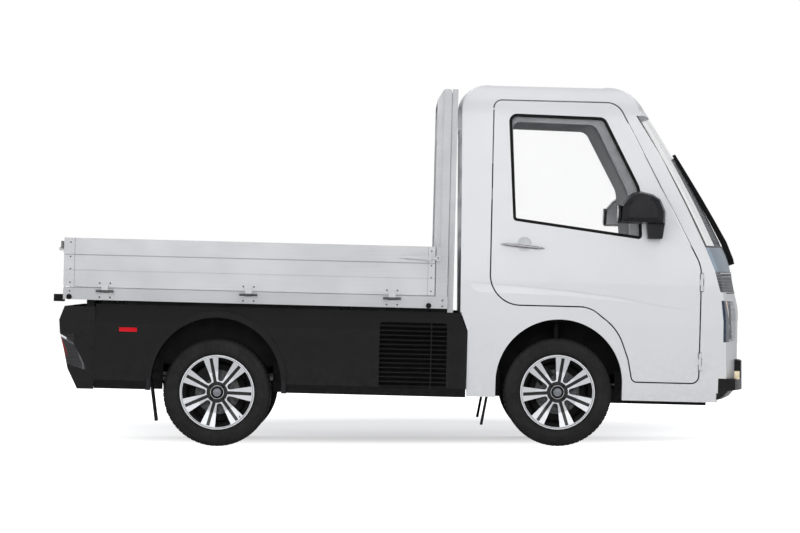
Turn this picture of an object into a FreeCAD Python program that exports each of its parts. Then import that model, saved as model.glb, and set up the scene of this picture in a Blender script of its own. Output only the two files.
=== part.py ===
import FreeCAD, Part
import math
import os

V = FreeCAD.Vector

# Driving dimensions, in millimetres and degrees
WHEELBASE = 1800.0
TRACK = 1210.0
TYRE_R = 285.0
TYRE_W = 165.0
RIM_R = 197.0
SPOKE_PAIRS = 7
FRONT_AXLE_X = 802.0
REAR_OVERHANG = 824.0
KINGPIN_Y = 488.0
RAKE_DEG = 1.45
CAB_HALF_W = 700.0
CAB_REAR_X = 275.0
CAB_BOTTOM_Z = 272.0
WALL_T = 55.0
GLASS_T = 6.0
SHUT_GAP = 7.0
DECK_Z = 697.0
FOOTWELL_Z = 322.0
SHEET_T = 18.0
DRIVER_Y = 330.0
BED_HALF_W = 700.0
BED_FRONT_X = 208.5
BED_FLOOR_Z = 798.0
BOARD_H = 257.0
BOARD_T = 28.0
HEADBOARD_TOP_Z = 1894.0
SKIRT_HALF_W = 702.0
SKIRT_T = 14.0
RAIL_Y = 290.0
RAIL_W = 60.0
PIN_R = 3.5
BARREL_R = 6.0
STUB_R = 25.0
RUN_GAP = 0.1
SEAT_GAP = 0.3
MOVE_GAP = 6.0

# Places that follow from them
REAR_AXLE_X = FRONT_AXLE_X - WHEELBASE
BED_REAR_X = REAR_AXLE_X - REAR_OVERHANG
WHEEL_Y = TRACK / 2
TYRE_HALF = TYRE_W / 2
ARCH_X = FRONT_AXLE_X + 5.0
ARCH_Z = TYRE_R + 71.0
ARCH_R = TYRE_R + 50.0
REAR_ARCH_X = REAR_AXLE_X - 6.0
REAR_ARCH_Z = TYRE_R + 26.0
REAR_ARCH_R = TYRE_R + 59.0
BOARD_Z = BED_FLOOR_Z + 3.0
BED_RAIL_TOP = BED_FLOOR_Z - 3.0
BED_RAIL_LOW = BED_FLOOR_Z - 66.0
PLATE_LOW = BED_FLOOR_Z - 33.0
CROSS_TOP = PLATE_LOW
PIN_Z = BED_FLOOR_Z - 19.0
PIN_OUT = 15.0
BOARD_FRONT_X = BED_FRONT_X - 70.5
BLOCK_REAR_X = BED_REAR_X - 52.0
BLOCK_MID_Z = BED_FLOOR_Z - 60.0
DOOR_PIN_X = 1549.0
FRONT_X = 1815.0
FRONT_MID_Z = 420.0
FAR = 2400.0
WIDE = 1000.0


def raked_x(x, z):
    """Length position of a body point once the body leans nose down."""
    lean = math.radians(RAKE_DEG)
    return x * math.cos(lean) + (z - TYRE_R) * math.sin(lean)


ORIGIN_X = -(raked_x(FRONT_X, FRONT_MID_Z) + raked_x(BLOCK_REAR_X, BLOCK_MID_Z)) / 2

os.makedirs("parts", exist_ok=True)


# Placing and exporting
def raked(shape):
    """Turns a shape made in the level body frame to the truck's nose-down stance."""
    turned_shape = shape.copy()
    turned_shape.rotate(V(0, 0, TYRE_R), V(0, 1, 0), RAKE_DEG)
    turned_shape.translate(V(ORIGIN_X, 0, 0))
    return turned_shape


def level(shape):
    """Places a shape that stands level on the ground, such as a wheel."""
    moved = shape.copy()
    moved.translate(V(ORIGIN_X, 0, 0))
    return moved


def export(name, shape):
    shape.exportStep("parts/" + name + ".step")


def export_pair(name, right_shape, place=raked):
    """Writes a right-hand piece and its mirror image."""
    export(name + "_right", place(right_shape))
    export(name + "_left", place(mirrored(right_shape)))


# Joining and copying shapes
def group(shapes):
    return Part.makeCompound(shapes)


def join(shapes):
    whole = shapes[0]
    if len(shapes) > 1:
        whole = shapes[0].multiFuse(shapes[1:])
    return whole.removeSplitter()


def mirrored(shape):
    return shape.mirror(V(0, 0, 0), V(0, 1, 0))


def both(shape):
    return group([shape, mirrored(shape)])


def biggest(shape):
    return max(shape.Solids, key=lambda solid: solid.Volume)


def spun(shape, count, start):
    """Copies spaced evenly about the wheel axis."""
    copies = []
    for i in range(count):
        copy = shape.copy()
        copy.rotate(V(0, 0, 0), V(0, 1, 0), start + 360.0 / count * i)
        copies.append(copy)
    return group(copies)


# Simple solids
def box(x0, x1, y0, y1, z0, z1):
    return Part.makeBox(x1 - x0, y1 - y0, z1 - z0, V(x0, y0, z0))


def rod(start, end, radius):
    way = V(*end) - V(*start)
    return Part.makeCylinder(radius, way.Length, V(*start), way)


def corner_arc(before, corner, after, radius):
    """Tangent points and middle of the arc that rounds one corner of a flat path."""
    to_a = (before - corner).normalize()
    to_b = (after - corner).normalize()
    half = to_a.getAngle(to_b) / 2
    reach = radius / math.tan(half)
    middle_way = (to_a + to_b).normalize()
    centre = corner + middle_way * (radius / math.sin(half))
    return corner + to_a * reach, centre - middle_way * radius, corner + to_b * reach


def outline(points, place):
    """Closed wire through flat points; a third number rounds that corner."""
    spots = [place(p[0], p[1]) for p in points]
    path = []
    for i, point in enumerate(points):
        if len(point) > 2:
            after = spots[(i + 1) % len(points)]
            path.append(corner_arc(spots[i - 1], spots[i], after, point[2]))
        else:
            path.append((spots[i],))
    edges = []
    last = path[-1][-1]
    for stops in path:
        if (stops[0] - last).Length > 1e-4:
            edges.append(Part.makeLine(last, stops[0]))
        if len(stops) > 1:
            edges.append(Part.Arc(*stops).toShape())
        last = stops[-1]
    return Part.Wire(edges)


def side_prism(points, y0, y1):
    """Side-view outline pushed across the truck from y0 to y1."""
    return Part.Face(outline(points, lambda a, b: V(a, y0, b))).extrude(V(0, y1 - y0, 0))


def front_prism(points, x0, x1):
    """Front-view outline pushed along the truck from x0 to x1."""
    return Part.Face(outline(points, lambda a, b: V(x0, a, b))).extrude(V(x1 - x0, 0, 0))


def plan_prism(points, z0, z1):
    """Outline seen from above pushed up from z0 to z1."""
    return Part.Face(outline(points, lambda a, b: V(a, b, z0))).extrude(V(0, 0, z1 - z0))


def wire_prism(wire, y0, y1, grow=0.0):
    """Prism on a flat side-view wire, grown or shrunk evenly first."""
    shaped = wire.makeOffset2D(grow) if grow else wire
    face = Part.Face(shaped)
    face.translate(V(0, y0, 0))
    return face.extrude(V(0, y1 - y0, 0))


def turned(points):
    """Solid of revolution about the wheel axis from a profile of radius and offset."""
    return Part.Face(outline(points, lambda r, a: V(r, a, 0))).revolve(V(0, 0, 0), V(0, 1, 0), 360)


def sided_ring(section, sides):
    """Ring about the wheel axis made of flat sides, with a corner at the bottom."""
    rings = []
    for i in range(sides):
        angle = 2 * math.pi * i / sides
        rings.append([V(r * math.sin(angle), a, -r * math.cos(angle)) for r, a in section])
    faces = []
    for i in range(sides):
        here, there = rings[i - 1], rings[i]
        for j in range(len(section)):
            corners = [here[j - 1], here[j], there[j], there[j - 1]]
            faces.append(Part.Face(Part.makePolygon(corners + corners[:1])))
    solid = Part.Solid(Part.Shell(faces))
    return solid if solid.Volume > 0 else solid.reversed()


def loft(rings, ruled):
    return Part.makeLoft([Part.makePolygon(ring + [ring[0]]) for ring in rings], True, ruled)


def spline(points):
    curve = Part.BSplineCurve()
    curve.interpolate(points)
    return curve.toShape()


def half_ring(x, z, radius, thick, y0, y1):
    """Upper half of a hoop round a wheel, from y0 to y1."""
    outer = radius + thick
    hoop = rod((x, y0, z), (x, y1, z), outer).cut(rod((x, y0 - 1, z), (x, y1 + 1, z), radius))
    return hoop.common(box(x - outer - 1, x + outer + 1, y0 - 1, y1 + 1, z, z + outer + 1))


def inset_points(points, depth):
    """Moves each side of a closed point ring inward by depth."""
    count = len(points)
    area = 0.0
    for i in range(count):
        a, b = points[i], points[(i + 1) % count]
        area += a[0] * b[1] - b[0] * a[1]
    sign = 1.0 if area > 0 else -1.0
    moved = []
    for i in range(count):
        a, b, c = points[i - 1], points[i], points[(i + 1) % count]
        d1 = math.hypot(b[0] - a[0], b[1] - a[1])
        d2 = math.hypot(c[0] - b[0], c[1] - b[1])
        n1 = (-(b[1] - a[1]) / d1 * sign, (b[0] - a[0]) / d1 * sign)
        n2 = (-(c[1] - b[1]) / d2 * sign, (c[0] - b[0]) / d2 * sign)
        scale = depth / (1.0 + n1[0] * n2[0] + n1[1] * n2[1])
        moved.append((b[0] + (n1[0] + n2[0]) * scale, b[1] + (n1[1] + n2[1]) * scale))
    return moved


# Hinges: a pin with fixed end barrels, and a middle barrel that turns on it
BARREL_END = 0.3


def fixed_barrels(start, end):
    a, b = V(*start), V(*end)
    along = b - a
    gap = V(along).normalize() * SEAT_GAP
    first = a + along * BARREL_END - gap
    second = b - along * BARREL_END + gap
    return join([rod(a, b, PIN_R), rod(a, first, BARREL_R), rod(second, b, BARREL_R)])


def moving_barrel(start, end):
    a, b = V(*start), V(*end)
    along = b - a
    barrel = rod(a + along * BARREL_END, b - along * BARREL_END, BARREL_R)
    return barrel.cut(rod(a, b, PIN_R + RUN_GAP))


# Cab volume: side profiles lofted across the truck, then trimmed to the front view
CAB_EDGE = [
    (283, CAB_BOTTOM_Z), (266, 1786), (300, 1868), (353, 1904), (420, 1913), (1000, 1913),
    (1091, 1899), (1146, 1862), (1183, 1801), (1333, 1569), (1473, 1305), (1581, 1084),
    (1630, 972), (1661, 850), (1670, 800), (1681, 700), (1690, CAB_BOTTOM_Z),
]
CAB_MIDDLE = [
    (283, CAB_BOTTOM_Z), (248, 1786), (282, 1888), (335, 1924), (420, 1933), (1000, 1933),
    (1148, 1919), (1202, 1882), (1250, 1821), (1414, 1569), (1574, 1305), (1699, 1084),
    (1739, 972), (1765, 850), (1778, 800), (1786, 700), (1789, CAB_BOTTOM_Z),
]
CAB_RUNS = [(0, 1), (1, 4), (4, 5), (5, 8), (8, 11), (11, 15), (15, 16), (16, 17)]
CAB_STATIONS = (-1.0, -0.82, -0.5, 0.0, 0.5, 0.82, 1.0)
PLAN_POWER = 2.4
SIDE_CURVE = [(688, 230), (697, 560), (701, 820), (693, 1060), (667, 1400), (640, 1700)]
ROOF_CORNER = [(640, 1700), (630, 1790), (603, 1862), (548, 1912), (470, 1950)]
FIT_GAP = 0.3


def cab_profile(share):
    """Side profile at a share of the half width: the middle is fuller than the edge."""
    swell = 1.0 - abs(share) ** PLAN_POWER
    points = []
    for (edge_x, edge_z), (mid_x, mid_z) in zip(CAB_EDGE, CAB_MIDDLE):
        points.append((edge_x + (mid_x - edge_x) * swell, edge_z + (mid_z - edge_z) * swell))
    return points


def profile_wire(share, depth):
    ring = inset_points(cab_profile(share), depth)
    ring.append(ring[0])
    y = share * CAB_HALF_W
    edges = []
    for start, end in CAB_RUNS:
        spots = [V(ring[i][0], y, ring[i][1]) for i in range(start, end + 1)]
        edges.append(Part.makeLine(*spots) if len(spots) == 2 else spline(spots))
    return Part.Wire(edges)


def front_view(depth):
    """Front-view shape of the cab pushed along its length."""
    side = SIDE_CURVE + ROOF_CORNER[1:]
    ring = [(-y, z) for y, z in side] + [(y, z) for y, z in reversed(side)]
    ring = inset_points(ring, depth)
    count = len(side)
    split = len(SIDE_CURVE) - 1
    left = [V(0, y, z) for y, z in ring[:count]]
    right = [V(0, y, z) for y, z in ring[count:]]
    edges = [
        spline(left[:split + 1]),
        spline(left[split:]),
        Part.makeLine(left[-1], right[0]),
        spline(right[:count - split]),
        spline(right[count - split - 1:]),
        Part.makeLine(right[-1], left[0]),
    ]
    return Part.Face(Part.Wire(edges)).extrude(V(FAR, 0, 0))


def cab_volume(depth):
    """The cab's solid body, its whole surface moved inward by depth."""
    body = Part.makeLoft([profile_wire(share, depth) for share in CAB_STATIONS], True, False)
    return body.common(front_view(depth))


# Shoulder pressed into each side: x, upper and lower crease heights, depth
SHOULDER = [
    (330, 873, 816, 1.0), (380, 872, 812, 5.0), (554, 865, 811, 5.0), (841, 844, 809, 5.0),
    (1118, 814, 788, 4.5), (1301, 782, 768, 3.0), (1489, 756, 752, 1.0),
]
SHOULDER_Y = 700.3


def shoulder_cut():
    rings = []
    for x, top, low, deep in SHOULDER:
        out = SHOULDER_Y + 20
        rings.append([
            V(x, -out, top), V(x, -SHOULDER_Y + deep, top), V(x, -SHOULDER_Y - 1, low), V(x, -out, low),
        ])
    return loft(rings, True)


def sill_seam():
    """Shallow line along the bottom of the cab side."""
    return side_prism([(1131, 290), (1640, 315), (1640, 318.5), (1131, 293.5)], -WIDE, -688.5)


cab_outer = cab_volume(0.0)
cab_inner = cab_volume(WALL_T)
cab_fit = cab_volume(WALL_T + FIT_GAP)
pressings = both(group([shoulder_cut(), sill_seam()]))
wall = cab_outer.cut(cab_inner).cut(pressings)

# Zones that split the cab wall into panels
FRONT_EDGE = [
    (1168, 1801), (1318, 1569), (1458, 1305), (1566, 1084), (1615, 972), (1650, 850),
    (1668, 700), (1672, 412), (1648, 408), (1648, 240),
]
HEADER_Z = 1779.0
ROOF_SEAM_Z = 1862.0
ROOF_REAR_Z = 1838.0
SCREEN_LOW_Z = 1090.0
COWL_LOW_Z = 964.0
MESH_LOW_Z = 856.0
NOSE_LOW_Z = 400.0
REAR_WALL_HALF = 598.0

front_zone = side_prism(FRONT_EDGE + [(FAR, 240), (FAR, 1801)], -WIDE, WIDE)
roof_zone = side_prism([
    (200, ROOF_REAR_Z), (420, ROOF_REAR_Z), (440, ROOF_SEAM_Z), (1100, ROOF_SEAM_Z),
    (1165, HEADER_Z), (FAR, HEADER_Z), (FAR, FAR), (200, FAR),
], -WIDE, WIDE)
rear_zone = box(200, CAB_REAR_X + WALL_T + 90, -REAR_WALL_HALF, REAR_WALL_HALF, DECK_Z, ROOF_REAR_Z)
front_arch = side_prism([
    (ARCH_X - ARCH_R, 200), (ARCH_X - ARCH_R, ARCH_Z + ARCH_R, ARCH_R - 0.5),
    (ARCH_X + ARCH_R, ARCH_Z + ARCH_R, ARCH_R - 0.5), (ARCH_X + ARCH_R, 200),
], -WIDE, WIDE)

# Door and window outlines in side view
DOOR_REAR_X = 426.0
DOOR_TOP_Z = 1849.0
DOOR_LOW_Z = 366.0
DOOR_STEP_Z = 757.0
DOOR_INNER_Y = 480.0
DOOR_FRAME_Y = 580.0
DOOR_FRAME_Z = 1500.0
GLASS_DEPTH = 20.0
door_wire = outline([
    (DOOR_REAR_X, DOOR_TOP_Z, 46), (1087, DOOR_TOP_Z, 100), (DOOR_PIN_X, 990, 200),
    (DOOR_PIN_X, DOOR_LOW_Z, 45), (ARCH_X + 383, DOOR_LOW_Z, 34), (ARCH_X + 359, 487, 60),
    (ARCH_X + 303, 640, 260), (ARCH_X + 153, DOOR_STEP_Z, 150), (DOOR_REAR_X + 2, DOOR_STEP_Z, 165),
], lambda a, b: V(a, 0, b))
window_wire = outline([
    (509, 1775, 42), (1018, 1766, 46), (1213, 1395, 120), (1229, 1123, 20), (545, 1207, 22),
], lambda a, b: V(a, 0, b))

# Door hinges stand in the shut line at the door's front edge
DOOR_HINGE_Z = (440.0, 860.0)
DOOR_HINGE_LEN = 90.0
LEAF_IN = 4.0
LEAF_OUT = 9.0
LEAF_REACH = 24.0
door_pin_ends = []
for hinge_z in DOOR_HINGE_Z:
    foot = (DOOR_PIN_X, -CAB_HALF_W, hinge_z)
    door_pin_ends.append((foot, (DOOR_PIN_X, -CAB_HALF_W, hinge_z + DOOR_HINGE_LEN)))


def door_notches():
    shapes = []
    for low, high in door_pin_ends:
        below = (low[0], low[1], low[2] - MOVE_GAP)
        above = (high[0], high[1], high[2] + MOVE_GAP)
        shapes.append(rod(below, above, BARREL_R + MOVE_GAP))
    return group(shapes)


def door_leaf(x0, x1, low_z, share0, share1):
    y0 = -CAB_HALF_W + LEAF_IN
    y1 = -CAB_HALF_W + LEAF_OUT
    return box(x0, x1, y0, y1, low_z + DOOR_HINGE_LEN * share0, low_z + DOOR_HINGE_LEN * share1)


def fixed_door_hinges():
    shapes = []
    for low, high in door_pin_ends:
        shapes.append(fixed_barrels(low, high))
        for share in (0.0, 0.72):
            shapes.append(door_leaf(DOOR_PIN_X, DOOR_PIN_X + LEAF_REACH, low[2], share, share + 0.28))
    return shapes


def moving_door_hinges():
    shapes = []
    for low, high in door_pin_ends:
        shapes.append(moving_barrel(low, high))
        leaf = door_leaf(DOOR_PIN_X - LEAF_REACH, DOOR_PIN_X, low[2], 0.32, 0.68)
        shapes.append(leaf.cut(rod(low, high, PIN_R + RUN_GAP)))
    return shapes


# Fixed cab panels
SKIRT_FRONT = [(281, 706), (315, 614), (315, 262)]
SKIRT_TOP_Z = 712.0
SKIRT_SEAM = 4.0


def cab_side():
    """Right side: pillars, door opening, front arch and the sills around it."""
    notch = [(x + SKIRT_SEAM, z + SKIRT_SEAM) for x, z in SKIRT_FRONT]
    skirt_top = [(200, SKIRT_TOP_Z + SKIRT_SEAM), (notch[0][0], SKIRT_TOP_Z + SKIRT_SEAM)]
    skirt_notch = side_prism(skirt_top + notch + [(notch[2][0], 200), (200, 200)], -WIDE, WIDE)
    sill_inside = box(300, 480, -655, 655, 200, 330)
    side = wall.cut(group([front_zone, roof_zone, rear_zone, front_arch, skirt_notch, sill_inside]))
    side = side.common(box(200, FAR, -WIDE, -520, 200, FAR))
    side = side.cut(wire_prism(door_wire, -WIDE, WIDE)).cut(door_notches())
    return join([biggest(side)] + fixed_door_hinges())


cab_side_right = cab_side()
export("cab_sides", raked(both(cab_side_right)))
export("cab_roof", raked(wall.common(roof_zone)))

rear_window_line = [(-470, 1330, 50), (470, 1330, 50), (450, 1690, 50), (-450, 1690, 50)]
rear_window_cut = front_prism(rear_window_line, 150, 420)
export("cab_rear_wall", raked(wall.common(rear_zone).cut(rear_window_cut)))

glass_skin = cab_outer.cut(cab_volume(GLASS_T))
screen_zone = front_zone.cut(roof_zone).common(box(1000, FAR, -WIDE, WIDE, SCREEN_LOW_Z, FAR))
windscreen = glass_skin.common(screen_zone)
rear_window = glass_skin.common(rear_window_cut)
export("cab_glass", raked(group([windscreen, rear_window])))

# Front panels, from the windscreen down to the bumper
MESH_T = 22.0
LAMP_TOP_Z = 817.0
LAMP_LOW_Z = 579.0


def front_band(low_z, top_z):
    return front_zone.common(box(1400, FAR, -WIDE, WIDE, low_z, top_z))


def lamp_zone():
    """Front-view shape of each headlamp, wrapped round the corner of the cab."""
    shape = front_prism([
        (420, LAMP_LOW_Z + 24, 34), (WIDE, LAMP_LOW_Z), (WIDE, LAMP_TOP_Z), (455, LAMP_TOP_Z - 10, 46),
    ], 1500, FAR)
    return both(shape).common(front_zone)


cowl_panel = wall.common(front_band(COWL_LOW_Z, SCREEN_LOW_Z))
export("cowl_panel", raked(cowl_panel))
mesh_skin = cab_outer.cut(cab_volume(MESH_T))
export("mesh_panel", raked(mesh_skin.common(front_band(MESH_LOW_Z, COWL_LOW_Z))))
lamp_shapes = lamp_zone()
export("front_panel", raked(wall.common(front_band(NOSE_LOW_Z, MESH_LOW_Z)).cut(lamp_shapes)))
export("headlamps", raked(wall.common(lamp_shapes)))

# Doors
THUMB_R = 60.0
HANDLE_REAR = V(480, -708, 1082)
HANDLE_FRONT = V(715, -708, 1064)
HANDLE_SIDES = 14
HANDLE_SWELL = [(0.0, 1.5), (0.07, 5.0), (0.2, 7.6), (0.5, 9.0), (0.8, 7.6), (0.93, 5.0), (1.0, 1.5)]


def door_panel():
    blank = wall.common(wire_prism(door_wire, -WIDE, -DOOR_INNER_Y, -SHUT_GAP))
    blank = blank.cut(box(DOOR_REAR_X - 10, DOOR_PIN_X, -DOOR_FRAME_Y, 0, DOOR_FRAME_Z, DOOR_TOP_Z + 10))
    panel = blank.cut(wire_prism(window_wire, -WIDE, -DOOR_INNER_Y)).cut(door_notches())
    thumb_recess = Part.makeSphere(THUMB_R, V(608, -737, 1086))
    return join([panel.cut(thumb_recess)] + moving_door_hinges())


def door_handle():
    """Spindle-shaped grip standing on two feet."""
    along = HANDLE_FRONT - HANDLE_REAR
    rings = []
    for share, radius in HANDLE_SWELL:
        ring = []
        for i in range(HANDLE_SIDES):
            angle = 2 * math.pi * i / HANDLE_SIDES
            ring.append(HANDLE_REAR + along * share + V(0, math.sin(angle), math.cos(angle)) * radius)
        rings.append(ring)
    parts = [loft(rings, True)]
    for share in (0.18, 0.82):
        spot = HANDLE_REAR + along * share
        parts.append(rod((spot.x, -685, spot.z), (spot.x, spot.y, spot.z), 4.5))
    return biggest(join(parts).cut(cab_outer))


door_right = door_panel()
export_pair("door", door_right)
glass_band = cab_volume(GLASS_DEPTH).cut(cab_volume(GLASS_DEPTH + GLASS_T))
export_pair("door_glass", glass_band.common(wire_prism(window_wire, -WIDE, -DOOR_INNER_Y)))
export_pair("door_handle", door_handle())

# Mirrors: a faceted housing on a foot at the window's front corner
MIRROR_SIDE = [
    (1092, 1205), (1098, 1297), (1137, 1345), (1168, 1368), (1210, 1377), (1273, 1362),
    (1313, 1337), (1342, 1272), (1341, 1205),
]
MIRROR_MID = (1222.0, 1287.0)
MIRROR_STATIONS = [(-900, 0.6), (-878, 0.88), (-800, 1.0), (-748, 0.93)]
MIRROR_FOOT = [(1253, 1127, 10), (1329, 1129, 10), (1341, 1215), (1246, 1215)]


def mirror():
    rings = []
    for y, scale in MIRROR_STATIONS:
        ring = []
        for x, z in MIRROR_SIDE:
            off_x, off_z = x - MIRROR_MID[0], z - MIRROR_MID[1]
            ring.append(V(MIRROR_MID[0] + off_x * scale, y, MIRROR_MID[1] + off_z * scale))
        rings.append(ring)
    housing = loft(rings, True)
    foot = side_prism(MIRROR_FOOT, -800, -660)
    return biggest(join([housing, foot]).cut(cab_outer))


export_pair("mirror", mirror())

# Cab floor, seat deck and footwell as one folded sheet
STEP_X = ARCH_X + 383.0


def floor_pan():
    top = DECK_Z + SHEET_T
    line = [
        (322, DECK_Z), (STEP_X - 30, DECK_Z), (STEP_X, 640), (STEP_X, FOOTWELL_Z), (1600, FOOTWELL_Z),
        (1664, 420), (1690, 560), (1672, 566), (1646, 428), (1592, FOOTWELL_Z + SHEET_T),
        (STEP_X + SHEET_T, FOOTWELL_Z + SHEET_T), (STEP_X + SHEET_T, 648), (STEP_X - 18, top), (322, top),
    ]
    return side_prism(line, -660, 660).common(cab_fit)


export("cab_floor", raked(floor_pan()))

# Liners inside the four wheel arches
LINER_GAP = 33.0
LINER_T = 6.0
LINER_BEND = 190.0
LINER_INNER_Y = 372.0
REAR_LINER_Y = 505.0
LINER_WALL_Z = 400.0
STRUT_X = FRONT_AXLE_X - 9.0


def front_liner():
    """Bent sheet over the front wheel, with its inner wall as a plate of its own."""
    rear = ARCH_X - ARCH_R - LINER_GAP
    front = ARCH_X + ARCH_R + LINER_GAP + 6
    bend = LINER_BEND
    line = [
        (rear, CAB_BOTTOM_Z), (rear, DECK_Z, bend), (front, DECK_Z, bend), (front, CAB_BOTTOM_Z),
        (front - LINER_T, CAB_BOTTOM_Z), (front - LINER_T, DECK_Z - LINER_T, bend - LINER_T),
        (rear + LINER_T, DECK_Z - LINER_T, bend - LINER_T), (rear + LINER_T, CAB_BOTTOM_Z),
    ]
    liner = side_prism(line, -660, -LINER_INNER_Y).common(cab_fit)
    cup = rod((STRUT_X, -KINGPIN_Y, DECK_Z - 24), (STRUT_X, -KINGPIN_Y, DECK_Z - 5), 48)
    cup = cup.cut(rod((STRUT_X, -KINGPIN_Y, DECK_Z - 40), (STRUT_X, -KINGPIN_Y, DECK_Z - 10), 9))
    wall_line = [(rear, LINER_WALL_Z), (rear, DECK_Z, bend), (front, DECK_Z, bend), (front, LINER_WALL_Z)]
    wall_y = -LINER_INNER_Y + SEAT_GAP
    return [join([liner, cup]), side_prism(wall_line, wall_y, wall_y + LINER_T)]


def rear_liner():
    """Hoop over the rear wheel, with its inner wall as a plate of its own."""
    radius = REAR_ARCH_R + 2
    hoop = half_ring(REAR_ARCH_X, REAR_ARCH_Z, radius, LINER_T, -SKIRT_HALF_W + 52.3, -REAR_LINER_Y)
    wall_y = -REAR_LINER_Y + SEAT_GAP
    ends = [(REAR_ARCH_X, y, REAR_ARCH_Z) for y in (wall_y, wall_y + LINER_T)]
    disc = rod(ends[0], ends[1], radius + LINER_T)
    upper = box(REAR_ARCH_X - FAR, REAR_ARCH_X + FAR, -WIDE, WIDE, LINER_WALL_Z, FAR)
    return [hoop, disc.common(upper)]


export("arch_liners", raked(both(group(front_liner() + rear_liner()))))

# Dashboard with a hood before the driver
dash_line = [
    (1395, 985, 25), (1420, 1072, 30), (1560, 1084), (1700, 1084), (1760, 1060), (1760, 900),
    (1560, 860), (1420, 880, 30),
]
hood_line = [(1410, 1040), (1400, 1105, 12), (1530, 1118, 20), (1570, 1070), (1500, 1040)]
dashboard = side_prism(dash_line, -640, 640).common(cab_fit)
dashboard = join([dashboard, side_prism(hood_line, DRIVER_Y - 165, DRIVER_Y + 165)])
export("dashboard", raked(dashboard))

# Steering wheel, its column and the pedals
STEER_TILT = math.radians(38)
STEER_R = 178.0
STEER_RIM_R = 14.0
SPINDLE_R = 10.0
steer_axis = V(-math.cos(STEER_TILT), 0, math.sin(STEER_TILT))
steer_centre = V(1275, DRIVER_Y, 1065)


def steering_column():
    low = steer_centre - steer_axis * 190
    column = Part.makeCylinder(30, 156, low, steer_axis)
    spindle = Part.makeCylinder(SPINDLE_R, 26, steer_centre - steer_axis * 35, steer_axis)
    return biggest(join([column, spindle]).cut(dashboard))


def pedal(y):
    """Pad on an arm that hangs from the dashboard's underside."""
    arm_line = [(1560, 866), (1580, 862), (1540, 560), (1470, 430), (1455, 438), (1522, 566)]
    arm = side_prism(arm_line, y - 7, y + 7)
    pad = side_prism([(1440, 470), (1485, 395), (1493, 400), (1450, 476)], y - 32, y + 32)
    return join([arm, pad]).cut(dashboard)


def steering_wheel():
    rim = Part.makeTorus(STEER_R, STEER_RIM_R, steer_centre, steer_axis)
    hub = Part.makeCylinder(46, 30, steer_centre - steer_axis * 26, steer_axis)
    hub = hub.cut(Part.makeCylinder(SPINDLE_R + RUN_GAP, 20, steer_centre - steer_axis * 27, steer_axis))
    across = V(0, 1, 0)
    arms = []
    for turn in (0, 180, 270):
        angle = math.radians(turn)
        way = across * math.cos(angle) + steer_axis.cross(across) * math.sin(angle)
        arms.append(Part.makeCylinder(8, STEER_R - 36, steer_centre - steer_axis * 6 + way * 30, way))
    return join([rim, hub] + arms)


controls = [steering_column(), pedal(DRIVER_Y - 70), pedal(DRIVER_Y + 60)]
export("driver_controls", raked(group(controls)))
export("steering_wheel", raked(steering_wheel()))


# Seats
def seat(y):
    base = DECK_Z + SHEET_T + FIT_GAP
    cushion_line = [(470, base), (960, base), (965, 800, 40), (900, 862, 50), (500, 835, 50)]
    back_line = [(395, 770, 20), (500, 770), (545, 850, 40), (475, 1340, 40), (385, 1350, 40)]
    head_line = [(395, 1375, 20), (465, 1370, 30), (450, 1530, 25), (392, 1530, 25)]
    cushion = side_prism(cushion_line, y - 235, y + 235)
    back = side_prism(back_line, y - 220, y + 220)
    head = side_prism(head_line, y - 120, y + 120)
    posts = [rod((425, y + side, 1300), (425, y + side, 1400), 6) for side in (-60, 60)]
    return join([cushion, back, head] + posts)


export("seats", raked(group([seat(-DRIVER_Y), seat(DRIVER_Y)])))

# Front bumper: a side profile that bulges forward towards the middle
BUMPER_HALF = 690.0
BUMPER_TOP_HALF = 470.0
BUMPER_EDGE_X = FRONT_X - 75.0
bumper_line = [
    (1640, 286), (1640, 410), (1690, 402), (1706, 500), (BUMPER_EDGE_X - 4, 492), (BUMPER_EDGE_X, 340),
    (1700, 335), (1672, 302),
]


def front_bumper():
    rings = []
    for share in CAB_STATIONS:
        swell = 1.0 - abs(share) ** PLAN_POWER
        ahead = (FRONT_X - BUMPER_EDGE_X) * swell
        rings.append([V(x + ahead, share * BUMPER_HALF, z) for x, z in bumper_line])
    corner = box(1500, FAR, -WIDE, -BUMPER_TOP_HALF, NOSE_LOW_Z, 600)
    kept_clear = [cab_outer.common(box(1500, FAR, -WIDE, WIDE, NOSE_LOW_Z, 600)), cab_outer.cut(front_zone)]
    return biggest(loft(rings, False).cut(group(kept_clear + [both(corner)])))


export("front_bumper", raked(front_bumper()))

# Wipers that lie along the windscreen
WIPER_LIFT = 9.0
WIPER_PATHS = [
    [(-90, 1010), (-160, 1110), (-215, 1230), (-265, 1350), (-315, 1470), (-350, 1580)],
    [(330, 1010), (270, 1110), (220, 1230), (170, 1350), (125, 1470), (95, 1570)],
]


def front_surface_x(y, z):
    """Length position of the cab's front surface at a place seen from the front."""
    ring = cab_profile(y / CAB_HALF_W)
    for (x0, z0), (x1, z1) in zip(ring[8:], ring[9:]):
        if z1 <= z <= z0:
            return x0 + (x1 - x0) * (z0 - z) / (z0 - z1)
    return ring[8][0]


def wiper(path):
    """Tapered blade and arm as one bar, lifted off the glass, on a round foot."""
    rings = []
    for i, (y, z) in enumerate(path):
        x = front_surface_x(y, z) + WIPER_LIFT
        high = 34 - 4 * i
        wide = 9 - i
        rings.append([
            V(x - 4, y - wide, z), V(x + high * 0.8, y - wide, z + high * 0.5),
            V(x + high * 0.8, y + wide, z + high * 0.5), V(x - 4, y + wide, z),
        ])
    y, z = path[0]
    x = front_surface_x(y, z)
    foot = rod((x - 20, y, z - 8), (x + 34, y, z + 14), 16)
    return biggest(join([loft(rings, True), foot]).cut(cab_outer))


export("wipers", raked(group([wiper(path) for path in WIPER_PATHS])))

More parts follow.
